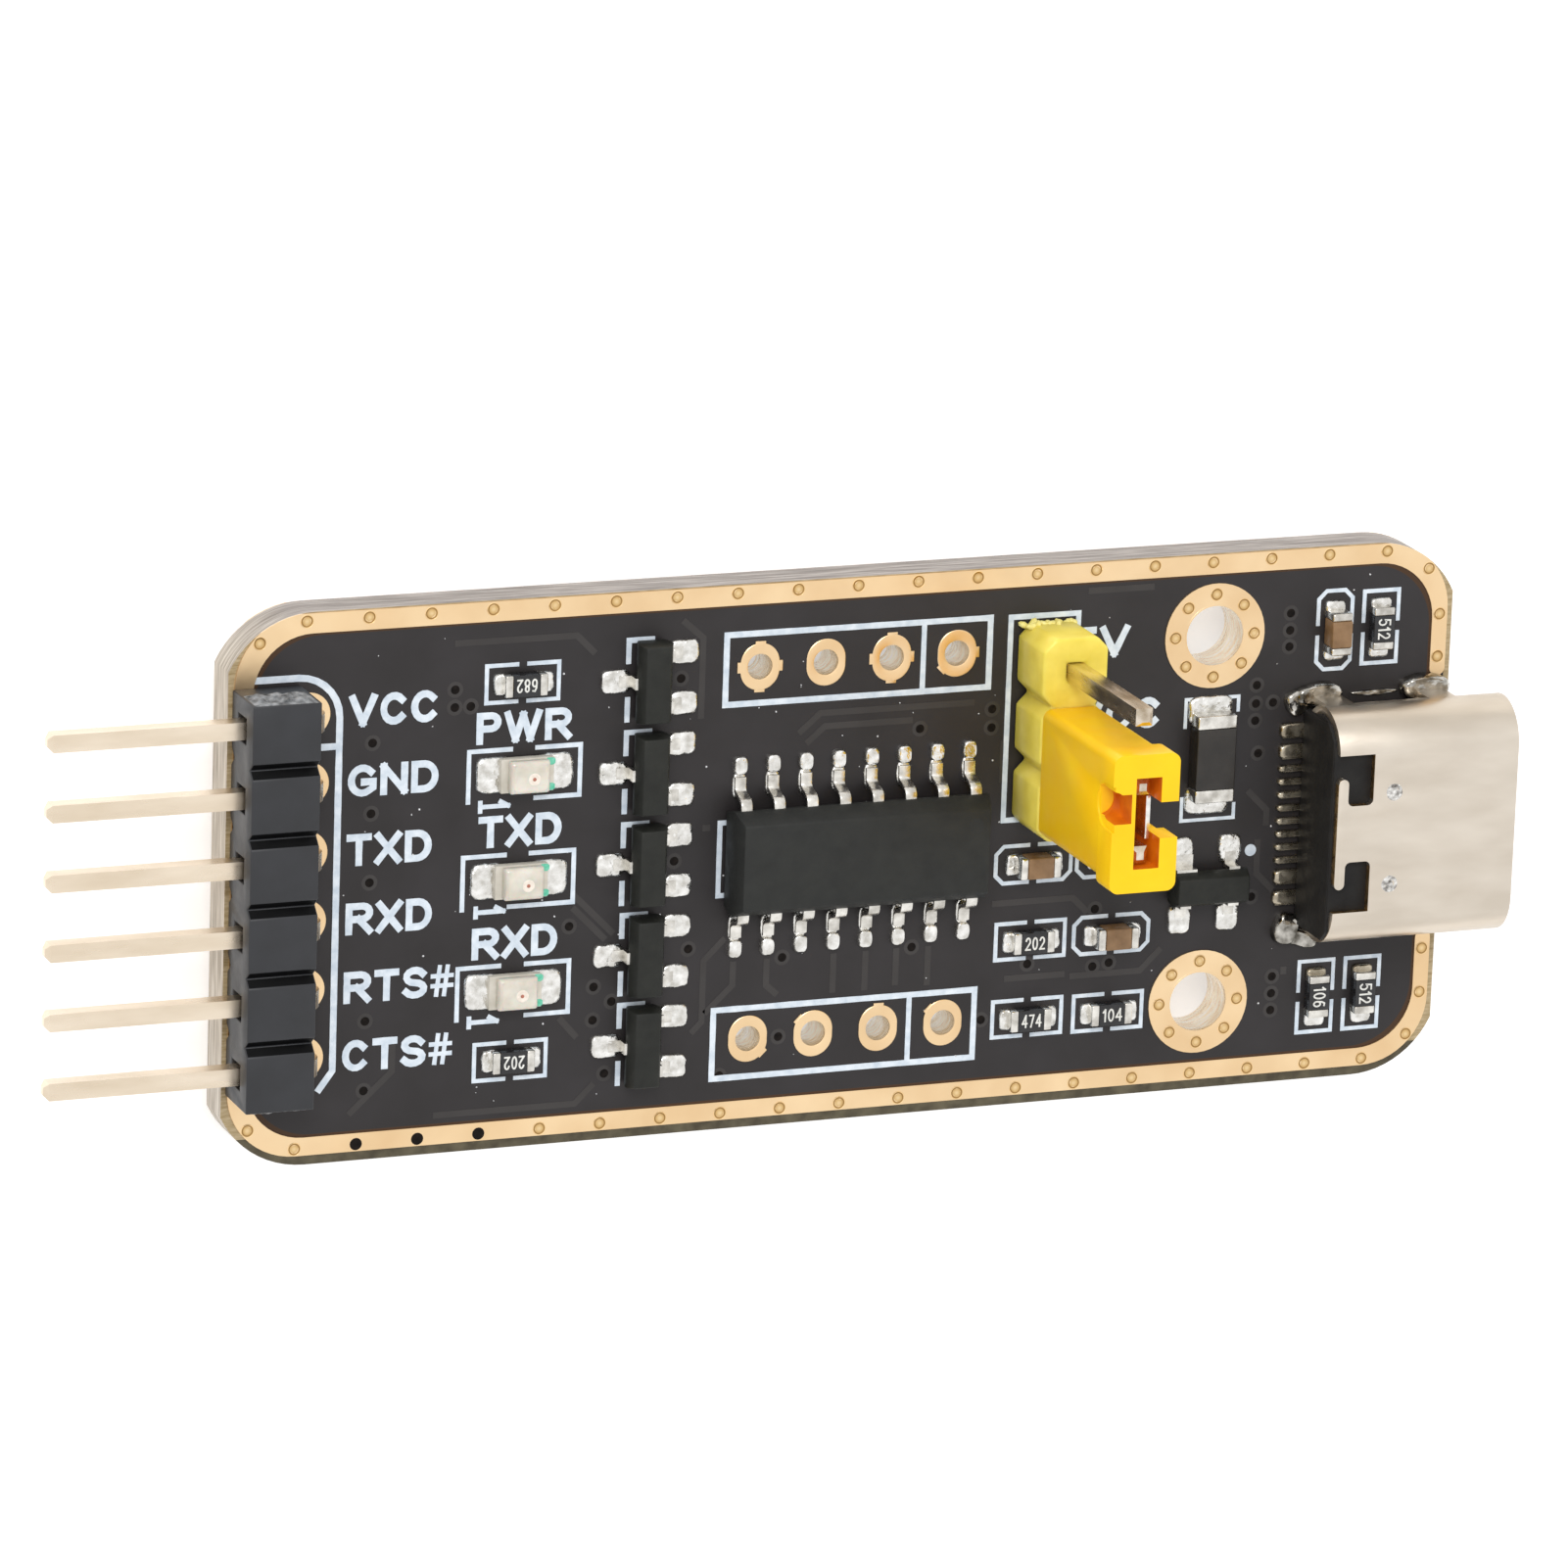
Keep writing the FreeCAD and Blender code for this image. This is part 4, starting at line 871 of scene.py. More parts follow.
# %% A tree that stamps marks
def stamping_tree():
    """The node tree that every stamped mark goes through."""
    tree = bpy.data.node_groups.new("Stamp at points", "GeometryNodeTree")
    tree.is_modifier = True
    for name, kind in (
        ("Places", "Geometry"),
        ("Stamp", "Object"),
        ("Finish", "Material"),
        ("Unevenness", "Float"),
        ("Grain", "Float"),
        ("Seed", "Float"),
    ):
        tree.interface.new_socket(name, in_out="INPUT", socket_type="NodeSocket" + kind)
    tree.interface.new_socket(
        "Geometry", in_out="OUTPUT", socket_type="NodeSocketGeometry"
    )

    def add(kind, inputs, **settings):
        node = tree.nodes.new(kind)
        for name, value in settings.items():
            setattr(node, name, value)
        for socket, value in inputs.items():
            if isinstance(value, bpy.types.NodeSocket):
                tree.links.new(value, node.inputs[socket])
            else:
                node.inputs[socket].default_value = value
        return node

    given = tree.nodes.new("NodeGroupInput").outputs
    shape = add("GeometryNodeObjectInfo", {"Object": given["Stamp"]})
    named = "GeometryNodeInputNamedAttribute"
    size = add(named, {"Name": "size"}, data_type="FLOAT_VECTOR")
    turn = add(named, {"Name": "turn"}, data_type="FLOAT")
    spin = add("ShaderNodeCombineXYZ", {"Z": turn.outputs["Attribute"]})
    copies = add(
        "GeometryNodeInstanceOnPoints",
        {
            "Points": given["Places"],
            "Instance": shape.outputs["Geometry"],
            "Rotation": spin.outputs[0],
            "Scale": size.outputs["Attribute"],
        },
    )
    real = add("GeometryNodeRealizeInstances", {"Geometry": copies.outputs[0]})
    where = tree.nodes.new("GeometryNodeInputPosition").outputs[0]
    outward = tree.nodes.new("GeometryNodeInputNormal").outputs[0]
    cloud = add(
        "ShaderNodeTexNoise",
        {"Vector": where, "W": given["Seed"], "Scale": given["Grain"], "Detail": 2.0},
        noise_dimensions="4D",
    )
    centred = add("ShaderNodeMath", {0: cloud.outputs[0], 1: 0.5}, operation="SUBTRACT")
    height = add(
        "ShaderNodeMath", {0: centred.outputs[0], 1: given["Unevenness"]},
        operation="MULTIPLY",
    )
    push = add(
        "ShaderNodeVectorMath", {"Vector": outward, "Scale": height.outputs[0]},
        operation="SCALE",
    )
    moved = add(
        "GeometryNodeSetPosition",
        {"Geometry": real.outputs[0], "Offset": push.outputs[0]},
    )
    painted = add(
        "GeometryNodeSetMaterial",
        {"Geometry": moved.outputs[0], "Material": given["Finish"]},
    )
    add("NodeGroupOutput", {"Geometry": painted.outputs[0]})
    return tree


STAMPING = stamping_tree()
print("tree made, nodes:", len(STAMPING.nodes))

# %% [markdown]
# Nearly all the marks are round or softly square, so a stamp is turned like a
# pot on a wheel: a few steps of radius and height give its half outline. Each
# step may carry a shade too, which the pressed gold reads. The stamping
# itself hands the tree its stamp, its places and its finish, and keeps the
# result as a plain mesh.


# %% Turning a stamp and using it
def turned(profile, sides=16, square=None):
    """A closed mark turned from (radius, height, shade) steps, outside first."""
    work = bmesh.new()
    layer = work.verts.layers.float.new("shade")
    rings = []
    for radius, height, shade_of in profile:
        ring = []
        for k in range(sides if radius else 1):
            angle = 2 * math.pi * k / sides
            c, s = math.cos(angle), math.sin(angle)
            if square:
                reach = (abs(c) ** square + abs(s) ** square) ** (-1 / square)
                c, s = c * reach, s * reach
            vertex = work.verts.new((radius * c * MM, radius * s * MM, height * MM))
            vertex[layer] = shade_of
            ring.append(vertex)
        rings.append(ring)
    work.faces.new(reversed(rings[0]))
    for outer, inner in zip(rings, rings[1:]):
        for k in range(sides):
            a, b = outer[k], outer[(k + 1) % sides]
            if len(inner) == 1:
                work.faces.new((a, b, inner[0]))
            else:
                work.faces.new((a, b, inner[(k + 1) % sides], inner[k]))
    outwards(work)
    return work


def stamped(name, stamp, places, finish_of, slot=None, uneven=0.0, grain=0.3, seed=1.0):
    """Stamps the mark at each (x, y, z, size x, size y, size z, turn)."""
    shape_mesh = bpy.data.meshes.new("stamp")
    stamp.to_mesh(shape_mesh)
    stamp.free()
    for polygon in shape_mesh.polygons:
        polygon.use_smooth = True
    shape = bpy.data.objects.new("stamp", shape_mesh)
    points = bpy.data.meshes.new("places")
    points.from_pydata([at(*p[:3]) for p in places], [], [])
    sizes = points.attributes.new("size", "FLOAT_VECTOR", "POINT")
    sizes.data.foreach_set("vector", [v for p in places for v in p[3:6]])
    turns = points.attributes.new("turn", "FLOAT", "POINT")
    turns.data.foreach_set("value", [p[6] for p in places])
    host = bpy.data.objects.new("host", points)
    for each in (shape, host):
        bpy.context.scene.collection.objects.link(each)
    modifier = host.modifiers.new("stamping", "NODES")
    modifier.node_group = STAMPING
    values = {
        "Stamp": shape,
        "Finish": finish_of.material,
        "Unevenness": uneven * MM,
        "Grain": 1 / (grain * MM),
        "Seed": seed,
    }
    for socket in STAMPING.interface.items_tree:
        if socket.in_out == "INPUT" and socket.name in values:
            modifier[socket.identifier] = values[socket.name]
    graph = bpy.context.evaluated_depsgraph_get()
    mesh = bpy.data.meshes.new_from_object(host.evaluated_get(graph))
    for each in (shape, host):
        bpy.data.objects.remove(each)
    work = bmesh.new()
    work.from_mesh(mesh)
    bpy.data.meshes.remove(mesh)
    print(name, "places:", len(places), "faces:", len(work.faces))
    return made(name, work, [finish_of], slot, sharp=60.0)


# %% [markdown]
# A row of small dimples runs round the gold border, and eight sit on each
# mounting ring: they are the plated vias that join the upper and lower
# copper. Three of them near the front corner were left open; each is a dark
# cup of painted shade where the open hole lies in shade.
# A relief in the finish could fake them, but they would vanish from the side,
# so each is a small turned bowl with a raised rim.

# %% Dimples in the border and the rings
DIMPLE = [
    (0.25, 0.045, 0.0), (0.235, 0.068, 0.0), (0.205, 0.056, 0.9), (0.15, 0.05, 0.5),
    (0.08, 0.056, 0.3), (0.0, 0.06, 0.15),
]
OPEN_DIMPLE = [
    (0.24, 0.045, 0.0), (0.22, 0.06, 0.2), (0.19, 0.055, 0.9), (0.0, 0.054, 1.0),
]
AS_DRAWN = (1.0, 1.0, 1.0)
OPEN_X, FRONT_ROW = (-14.91, -12.59, -10.27), -16.71
IN_A_ROW, RING_MARKS, MARK_RADIUS, MARK_TURN = 19, 8, 1.56, 0.37
back_row = [(-17.15 + 2.316 * k, 2.78) for k in range(IN_A_ROW)]
front_row = [(-17.23 + 2.32 * k, FRONT_ROW) for k in range(IN_A_ROW)]
corner_marks = [(26.26, 2.02), (26.3, -15.9), (-18.88, 2.08), (-19.0, -15.87)]
leg_marks = [(26.78, y) for y in (0.26, -1.36, -12.6, -14.3)]
ring_marks = []
for x, y in MOUNT_HOLES:
    for k in range(RING_MARKS):
        a = 2 * math.pi * k / RING_MARKS
        ring_marks.append((x + MARK_RADIUS * math.cos(a), y + MARK_RADIUS * math.sin(a)))
closed = [
    (x, y)
    for x, y in back_row + front_row + corner_marks + leg_marks + ring_marks
    if not (y == FRONT_ROW and any(abs(x - o) < 0.3 for o in OPEN_X))
]
turns = [MARK_TURN * k for k in range(len(closed))]
stamped(
    "dimples", turned(DIMPLE, 18),
    [(x, y, 0, *AS_DRAWN, turn) for (x, y), turn in zip(closed, turns)],
    pressed, "gold", uneven=0.012, grain=0.15,
)
stamped(
    "open_vias", turned(OPEN_DIMPLE, 16), [(x, FRONT_ROW, 0, *AS_DRAWN, 0) for x in OPEN_X],
    hole_shade, "core_plastic",
)
FOOT_BELOW = 0.1
stamped(
    "dimples_below", turned([(r, FOOT_BELOW - h, s) for r, h, s in DIMPLE], 14),
    [
        (x, y, -BOARD_THICK - FOOT_BELOW, *AS_DRAWN, turn)
        for (x, y), turn in zip(closed, turns)
    ],
    pressed, "gold",
)

# %% [markdown]
# The holes are plated through. Round each spare hole lies a gold land, a
# little longer than wide, that turns over a soft lip into the barrel. The
# lands of the pins are round, and those of the mounting holes are solids of
# their own, so only a barrel is added there. A land, its barrel and the land
# below are one turned ring, so the lip has no seam where the light would
# catch.


# %% Lands and barrels
LAND_TOP, RIM_WIDE, RIM_DEEP = 0.052, 0.02, 0.012
LIP_WIDE, LIP_DEEP, PLATING, TUCKED = 0.07, 0.09, 0.03, 0.05


def plated(name, holes, radius, wide, extra, sides):
    """Lands on both faces, joined by a barrel through the board."""
    mid = -0.5 * BOARD_THICK
    half_steps = [
        (wide, extra, 0.0), (wide, extra, LAND_TOP - RIM_DEEP),
        (wide - RIM_WIDE, extra, LAND_TOP), (radius + LIP_WIDE, 0.0, LAND_TOP),
        (radius + 0.02, 0.0, LAND_TOP - 0.018), (radius, 0.0, LAND_TOP - LIP_DEEP),
    ]
    steps = half_steps + [(radius - 0.004, 0.0, mid)]
    steps += [(r, e, 2 * mid - z) for r, e, z in reversed(half_steps)]
    steps += [(radius + PLATING, 0.0, z) for z in (2 * mid + TUCKED, -TUCKED)]
    work = bmesh.new()
    for x, y in holes:
        rings = []
        for r, e, z in steps:
            ring = []
            for k in range(sides):
                angle = 2 * math.pi * (k + 0.5) / sides
                c, s = math.cos(angle), math.sin(angle)
                spot = (x + r * c, y + r * s + math.copysign(e, s), z)
                ring.append(work.verts.new(at(*spot)))
            rings.append(ring)
        skin(work, rings, loop=True)
    outwards(work)
    for face in work.faces:
        # The barrel walls take the painted sheen.
        face.material_index = int(abs(face.normal.z) < 0.5)
    return made(name, work, [gold, barrel_gold_sheen], "gold", sharp=25.0)


spare_lands = plated("spare_lands", SPARE_HOLES, 0.455, 0.75, 0.125, 40)
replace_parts(spare_lands, "spare_pads_back", "spare_pads_front")
HEADER_HOLES = [(-17.03, -0.647 - GRID * k) for k in range(6)]
JUMPER_HOLES = [(11.24, -0.28 - GRID * k) for k in range(3)]
header_lands = plated("header_lands", HEADER_HOLES, 0.46, 0.82, 0.0, 36)
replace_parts(header_lands, "header_pads")
jumper_lands = plated("jumper_lands", JUMPER_HOLES, 0.46, 0.82, 0.0, 36)
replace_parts(jumper_lands, "jumper_pads")
plated("mount_barrels", MOUNT_HOLES, 1.105, 1.2, 0.0, 64)
print("barrels:", len(SPARE_HOLES + HEADER_HOLES + JUMPER_HOLES + MOUNT_HOLES))

# %% [markdown]
# Where a track meets a spare land, a short spoke of gold shows beyond it.
# Each is a small flat bar laid half over the land's edge. Their directions
# were read off hole by hole, because the board has no rule for them.

# %% Spokes of the spare lands
SPOKES = [
    (0, 0, (0, 90, 180, 270)), (2, 0, (0, 90, 180, 270)), (3, 0, (0, 225)),
    (0, 1, (315,)), (1, 1, (135,)), (2, 1, (90,)), (3, 1, (135,)),
]
REACH_ACROSS, REACH_ALONG, REACH_SLANTED = 0.72, 0.8, 0.74
SPOKE_LONG, SPOKE_WIDE, SPOKE_THICK = 0.3, 0.4, 0.048
spoke_size = Matrix.Diagonal(
    (SPOKE_LONG * MM, SPOKE_WIDE * MM, SPOKE_THICK * MM, 1.0)
)
work = bmesh.new()
for column, row, angles in SPOKES:
    for angle in angles:
        turn = math.radians(angle)
        reach = REACH_ALONG if angle % 180 else REACH_ACROSS
        if angle % 90:
            reach = REACH_SLANTED
        x = GRID * column + reach * math.cos(turn)
        y = -ROW_DROP * row + reach * math.sin(turn)
        matrix = Matrix.Translation(at(x, y, SPOKE_THICK / 2))
        matrix = matrix @ Matrix.Rotation(turn, 4, "Z") @ spoke_size
        bmesh.ops.create_cube(work, size=1.0, matrix=matrix)
round_edges(work, 0.015)
made("land_spokes", work, [gold], "gold")
print("spokes:", sum(len(angles) for *_, angles in SPOKES))

# %% [markdown]
# Many solids hold several pads or leads at once. To dress them one by one,
# each separate body in such a solid is found by walking along its edges from
# corner to corner, and its box is kept.


# %% Finding pads and leads
def islands(node):
    """The boxes of a solid's separate bodies, in mm from the first spare hole."""
    work = merged(node)
    seen, boxes = set(), []
    for start in work.verts:
        if start in seen:
            continue
        seen.add(start)
        stack, group = [start], []
        while stack:
            vertex = stack.pop()
            group.append((vertex.co - FIRST_HOLE) / MM)
            for link in vertex.link_edges:
                other = link.other_vert(vertex)
                if other not in seen:
                    seen.add(other)
                    stack.append(other)
        low = Vector([min(p[axis] for p in group) for axis in range(3)])
        high = Vector([max(p[axis] for p in group) for axis in range(3)])
        boxes.append((low, high))
    work.free()
    return boxes


print("pads of the small parts:", len(islands("surface_pads")))

# %% [markdown]
# Solder wets a whole pad and sets with a crinkled skin. A low pillow is
# stamped on every pad, with a noise that differs from place to place. Under
# the resistors and capacitors it is trimmed to where the solder really ends,
# and the narrow pads behind the socket get smoother, duller pillows.

# %% Pools of solder on the pads
PILLOW = [
    (1.0, 0.0, 0.0), (0.985, 0.45, 0.0), (0.93, 0.8, 0.0), (0.8, 0.98, 0.0),
    (0.6, 0.9, 0.0), (0.38, 1.0, 0.0), (0.18, 0.92, 0.0), (0.0, 1.0, 0.0),
]
LYING_RESISTORS = [
    (-9.02, 0.01), (-9.13, -14.05), (10.97, -11.08), (10.96, -14.04), (14.17, -14.07),
]
LYING_CAPACITORS = [(10.97, -8.15), (14.18, -8.15), (14.18, -11.09)]
STANDING_RESISTORS = [(24.42, -0.08), (22.53, -14.14), (24.4, -14.14)]
STANDING_CAPACITOR = (22.58, -0.08)
LYING = LYING_RESISTORS + LYING_CAPACITORS
STANDING = [*STANDING_RESISTORS, STANDING_CAPACITOR]
SOLDER_END, SIDE_TRIM, NARROW, SUNK = 1.13, 0.07, 0.29, -0.01
POOL_HIGH, STUB_HIGH = 0.2, 0.21
pools, stubs = [], []
for low, high in islands("surface_pads"):
    for axis, centres in enumerate((LYING, STANDING)):
        for centre in centres:
            off = (low + high).xy / 2 - Vector(centre)
            if abs(off[axis]) < 1.4 and abs(off[1 - axis]) < 0.3:
                ends = high if off[axis] > 0 else low
                ends[axis] = centre[axis] + math.copysign(SOLDER_END, off[axis])
                low[1 - axis] += SIDE_TRIM
                high[1 - axis] -= SIDE_TRIM
    middle, half = (low + high) / 2, (high - low) / 2
    if min(half.xy) < NARROW:
        stubs.append((*middle.xy, SUNK, *half.xy, STUB_HIGH, 0.0))
    else:
        pools.append((*middle.xy, SUNK, *half.xy, POOL_HIGH, 0.0))
surface_solder = stamped(
    "surface_solder", turned(PILLOW, 28, square=5), pools, solder, "solder",
    uneven=0.15, grain=0.24, seed=3.0,
)
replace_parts(surface_solder, "surface_pads")
stamped(
    "stub_solder", turned(PILLOW, 20, square=5), stubs, lead_metal, "solder",
    uneven=0.03, grain=0.3, seed=4.0,
)

# %% [markdown]
# The chip's leads are bent from thin strip in a soft S: out of the body, down
# to the board and out along the pad. Each is a band swept along that curve.
# The drawn leads have plain bends, and those bends are what the eye goes to
# in a row of sixteen, so the sweep takes their place at the same reach.

# %% The chip's leads
LEAD_WIDE, LEAD_THICK = 0.44, 0.15
LEAD_CURVE = [
    (-0.12, 0.86), (0.1, 0.86), (0.2, 0.845), (0.29, 0.79), (0.35, 0.7), (0.4, 0.56),
    (0.45, 0.4), (0.5, 0.27), (0.57, 0.18), (0.66, 0.14), (0.78, 0.13), (1.07, 0.13),
]
body_low, body_high = local_box("bridge_chip")
work = bmesh.new()
for low, high in islands("bridge_chip_leads"):
    back = low.y > body_low.y + 1.0
    side_y, way = (body_high.y, 1) if back else (body_low.y, -1)
    middle_x = (low.x + high.x) / 2
    rows = []
    for k, (out, z) in enumerate(LEAD_CURVE):
        before = Vector(LEAD_CURVE[max(0, k - 1)])
        after = Vector(LEAD_CURVE[min(len(LEAD_CURVE) - 1, k + 1)])
        along = (after - before).normalized()
        across = Vector((-along.y, along.x)) * LEAD_THICK / 2
        row = []
        for u, v in ((-1, -1), (1, -1), (1, 1), (-1, 1)):
            x = middle_x + u * LEAD_WIDE / 2
            y = side_y + way * (out + v * across.x)
            row.append(work.verts.new(at(x, y, z + v * across.y)))
        rows.append(row)
    skin(work, rows)
outwards(work)
round_edges(work, 0.03, angle=50.0)
print("lead faces:", len(work.faces))
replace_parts(made("chip_leads_bent", work, [tin], "tin", sharp=50.0), "bridge_chip_leads")

# %% [markdown]
# The solder makes a rounded toe over the outer end of each lead, and a lower
# pillow covers the rest of the pad behind it. Two stamps per pad give that
# step down, which one pillow can't.

# %% The toes of the chip's leads
TOE_LONG, TOE_WIDE, TOE_HIGH = 0.7, 0.93, 0.24
HEEL_BACK, HEEL_WIDE, HEEL_HALF, HEEL_HIGH = 1.1, 0.9, 0.5, 0.1
toes = []
for low, high in islands("chip_pads"):
    end, inward = (high.y, -1) if high.y > body_high.y else (low.y, 1)
    x, half = (low.x + high.x) / 2, (high.x - low.x) / 2
    toe_y, heel_y = end + inward * TOE_LONG / 2, end + inward * HEEL_BACK
    toes.append((x, toe_y, SUNK, TOE_WIDE * half, TOE_LONG / 2, TOE_HIGH, 0.0))
    toes.append((x, heel_y, SUNK, HEEL_WIDE * half, HEEL_HALF, HEEL_HIGH, 0.0))
chip_solder = stamped(
    "chip_solder", turned(PILLOW, 24, square=3.2), toes, solder, "solder",
    uneven=0.07, grain=0.35, seed=5.0,
)
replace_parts(chip_solder, "chip_pads")

# %% [markdown]
# The shell's four feet are soldered by small blobs. Each is a long low drop
# that climbs the shell, with a thin bright line of solder between the two at
# the back. The corner blobs have odd outlines, so two stamps overlap there.

# %% Blobs that hold the socket
BLOBS = [
    (22.0, -2.42, 0.95, 0.4, 0.42, 0.1), (21.15, -2.75, 0.45, 0.5, 0.34, 0.5),
    (26.25, -2.45, 0.98, 0.5, 0.5, 0.0), (24.3, -2.55, 0.95, 0.1, 0.12, 0.0),
    (21.1, -11.38, 0.5, 0.62, 0.42, -0.3), (21.75, -11.82, 0.75, 0.3, 0.26, -0.35),
    (26.0, -11.72, 0.9, 0.16, 0.26, 0.0),
]
socket_solder = stamped(
    "socket_solder", turned(PILLOW, 32, square=2.4),
    [(x, y, 0.0, *size_and_turn) for x, y, *size_and_turn in BLOBS],
    drop, "solder", uneven=0.2, grain=0.45, seed=8.0,
)
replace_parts(socket_solder, "usb_solder")

# %% [markdown]
# Covered vias look like small dark dots in the mask: each dot is painted
# shade of the hole under the mask. Each has a faint paler collar where the
# mask lies over its copper land. Two flat stamps, the collar below the dot,
# keep both tones crisp.

# %% Covered vias
VIAS = [
    (-14.6, -1.85), (-14.6, -4.45), (-14.6, -7.0), (-14.65, -12.15), (-14.65, -14.75),
    (-11.55, -0.1), (-11.55, -0.75), (-10.95, -0.75), (-7.0, -9.2), (1.25, -11.0),
    (6.3, -2.75), (6.3, -11.0), (9.1, -2.2), (9.1, -2.9), (9.15, -14.0), (1.2, -14.0),
    (-1.05, -15.3), (20.8, 0.65), (20.8, 0.0), (20.8, -0.62), (20.75, -13.25),
    (20.75, -13.9), (20.75, -14.55), (19.57, -2.0), (19.57, -2.7), (19.57, -3.35),
    (20.25, -2.7), (13.5, -10.1), (13.5, -12.3), (14.15, -12.2), (10.9, -12.0),
    (19.75, -10.1), (19.75, -4.6), (-6.0, -11.55), (-6.0, -12.8), (-5.3, -12.15),
    (-5.5, -14.85), (-2.4, -10.4), (-3.05, -7.05), (-3.0, -0.25),
]
VIA = [(0.17, 0.0, 0.0), (0.16, 0.012, 0.0), (0.13, 0.01, 0.0), (0.0, 0.006, 0.0)]
COLLAR = [(0.3, 0.0, 0.0), (0.28, 0.004, 0.0), (0.0, 0.003, 0.0)]
at_vias = [(x, y, 0, *AS_DRAWN, 0) for x, y in VIAS]
stamped("via_collars", turned(COLLAR, 16), at_vias, trace, "laminate")
stamped(
    "covered_vias", turned(VIA, 14), at_vias, hole_shade, "laminate", uneven=0.004, grain=0.1
)

# %% [markdown]
# A few light specks lie about, as on any board that was washed and handled.
# They are tiny and strewn at random from a fixed seed, so that they fall in
# the same places every time.

# %% Specks
draw = random.Random(11)
specks = []
while len(specks) < 90:
    x, y = draw.uniform(-16.0, 24.0), draw.uniform(-15.8, 2.0)
    size = draw.uniform(0.35, 1.0)
    specks.append((x, y, 0.0, size, size * draw.uniform(0.5, 1.0), size, 3 * x))
SPECK = [(0.045, 0.0, 0.0), (0.035, 0.03, 0.0), (0.0, 0.04, 0.0)]
stamped("specks", turned(SPECK, 6), specks, dust, uneven=0.01, grain=0.05)

# %% [markdown]
# The print is a thick white ink, laid through a screen: its lines swell and
# shrink a little. A picture on the board would blur close up, so each line is
# a narrow flat ribbon whose width wavers with a noise. It is a closed band
# that starts just under the mask, so it never floats.


# %% A ribbon along a line
def ribbon(work, points, width, closed=False, high=0.022, low=-0.005, waver=0.1, ends=0):
    """A flat band along points in mm, with mitred corners and lengthened ends."""
    points = [Vector(p) for p in points]
    if ends:
        points[0] += (points[0] - points[1]).normalized() * ends
        points[-1] += (points[-1] - points[-2]).normalized() * ends
    dense = []
    count = len(points)
    for k in range(count if closed else count - 1):
        a, b = points[k], points[(k + 1) % count]
        steps = max(1, round((b - a).length / 0.45))
        dense += [a.lerp(b, i / steps) for i in range(steps)]
    if not closed:
        dense.append(points[-1])
    rows = []
    last = len(dense) - 1
    for k, spot in enumerate(dense):
        before = dense[k - 1] if k or closed else spot
        after = dense[(k + 1) % len(dense)] if k < last or closed else spot
        into = (spot - before).normalized() if before != spot else None
        out = (after - spot).normalized() if after != spot else None
        along = ((into or out) + (out or into)).normalized()
        side = Vector((-along.y, along.x))
        mitre = 1 / max(0.5, along.dot(out or into))
        sway = noise.noise(Vector((spot.x * 2.3, spot.y * 2.3, 0.7)))
        half = width / 2 * mitre * (1 + waver * sway)
        left, right = spot + side * half, spot - side * half
        places = ((left, low), (right, low), (right, high), (left, high))
        rows.append([work.verts.new(at(*flat, z)) for flat, z in places])
    skin(work, rows, loop=closed)


# %% [markdown]
# Each small part has a frame of print round it, parted in the middle so that
# the solder doesn't touch the ink. The two halves mirror each other, so only
# one is listed. Capacitors have clipped corners, resistors plain ones.


# %% Frames of the small parts
FRAME_LINE = 0.15


def split_frame(work, low, high, tall=False, clip=0.0, gap=0.3):
    """A printed frame round a small part, parted at its middle."""
    (x0, y0), (x1, y1) = low, high
    mid_x, mid_y = (x0 + x1) / 2, (y0 + y1) / 2
    c = clip
    if tall:
        upper = [
            (x0, mid_y + gap / 2), (x0, y1 - c), (x0 + c, y1), (x1 - c, y1),
            (x1, y1 - c), (x1, mid_y + gap / 2),
        ]
        lower = [(x, y0 + y1 - y) for x, y in upper]
    else:
        upper = [
            (mid_x - gap / 2, y1), (x0 + c, y1), (x0, y1 - c), (x0, y0 + c),
            (x0 + c, y0), (mid_x - gap / 2, y0),
        ]
        lower = [(x0 + x1 - x, y) for x, y in upper]
    for points in (upper, lower):
        kept = [p for k, p in enumerate(points) if not k or p != points[k - 1]]
        ribbon(work, kept, FRAME_LINE)


silk = bmesh.new()
for x, y in LYING_RESISTORS:
    split_frame(silk, (x - 1.36, y - 0.68), (x + 1.36, y + 0.68))
for x, y in LYING_CAPACITORS:
    split_frame(silk, (x - 1.48, y - 0.7), (x + 1.48, y + 0.7), clip=0.3)
for x, y in STANDING_RESISTORS:
    split_frame(silk, (x - 0.69, y - 1.37), (x + 0.69, y + 1.37), tall=True, gap=0.36)
split_frame(silk, (21.9, -1.57), (23.25, 1.4), tall=True, clip=0.3, gap=0.36)
print("frames, faces:", len(silk.faces))

# %% [markdown]
# The larger outlines mark the header, the two rows of spare holes, the chip's
# first side, the jumper, the array, the transistors and the lamps. They were
# traced corner by corner, and where one line crosses another it lies a hair
# higher, so that the two faces don't flicker.

# %% Outlines of the larger parts
CROSSING = 0.024
quarter = [
    (-17.4 + 1.55 * math.sin(a), -0.83 + 1.55 * math.cos(a))
    for a in [math.pi / 2 * k / 7 for k in range(8)]
]
ribbon(silk, [(-19.05, 0.72), *quarter, (-15.85, -13.9), (-16.4, -14.65)], 0.25)
ribbon(silk, [(-16.55, -1.87), (-15.95, -1.87)], 0.25, high=CROSSING)
for top, left, right, split in ((1.24, -1.29, 8.9, 6.32), (-12.81, -1.35, 8.85, 6.28)):
    base = top - 2.59
    box = [(left, top), (right, top), (right, base), (left, base)]
    ribbon(silk, box, 0.22, closed=True)
    ribbon(silk, [(split, top), (split, base)], 0.2, high=CROSSING)
ribbon(silk, [(-0.95, -5.75), (-1.33, -5.75), (-1.33, -8.48), (-0.95, -8.48)], 0.19)
ribbon(silk, [(9.7, 1.2), (12.35, 1.2), (12.35, -6.45), (9.7, -6.45)], 0.2, closed=True)
ribbon(silk, [(16.77, -3.47), (16.77, -2.37), (18.86, -2.37), (18.86, -2.95)], 0.13)
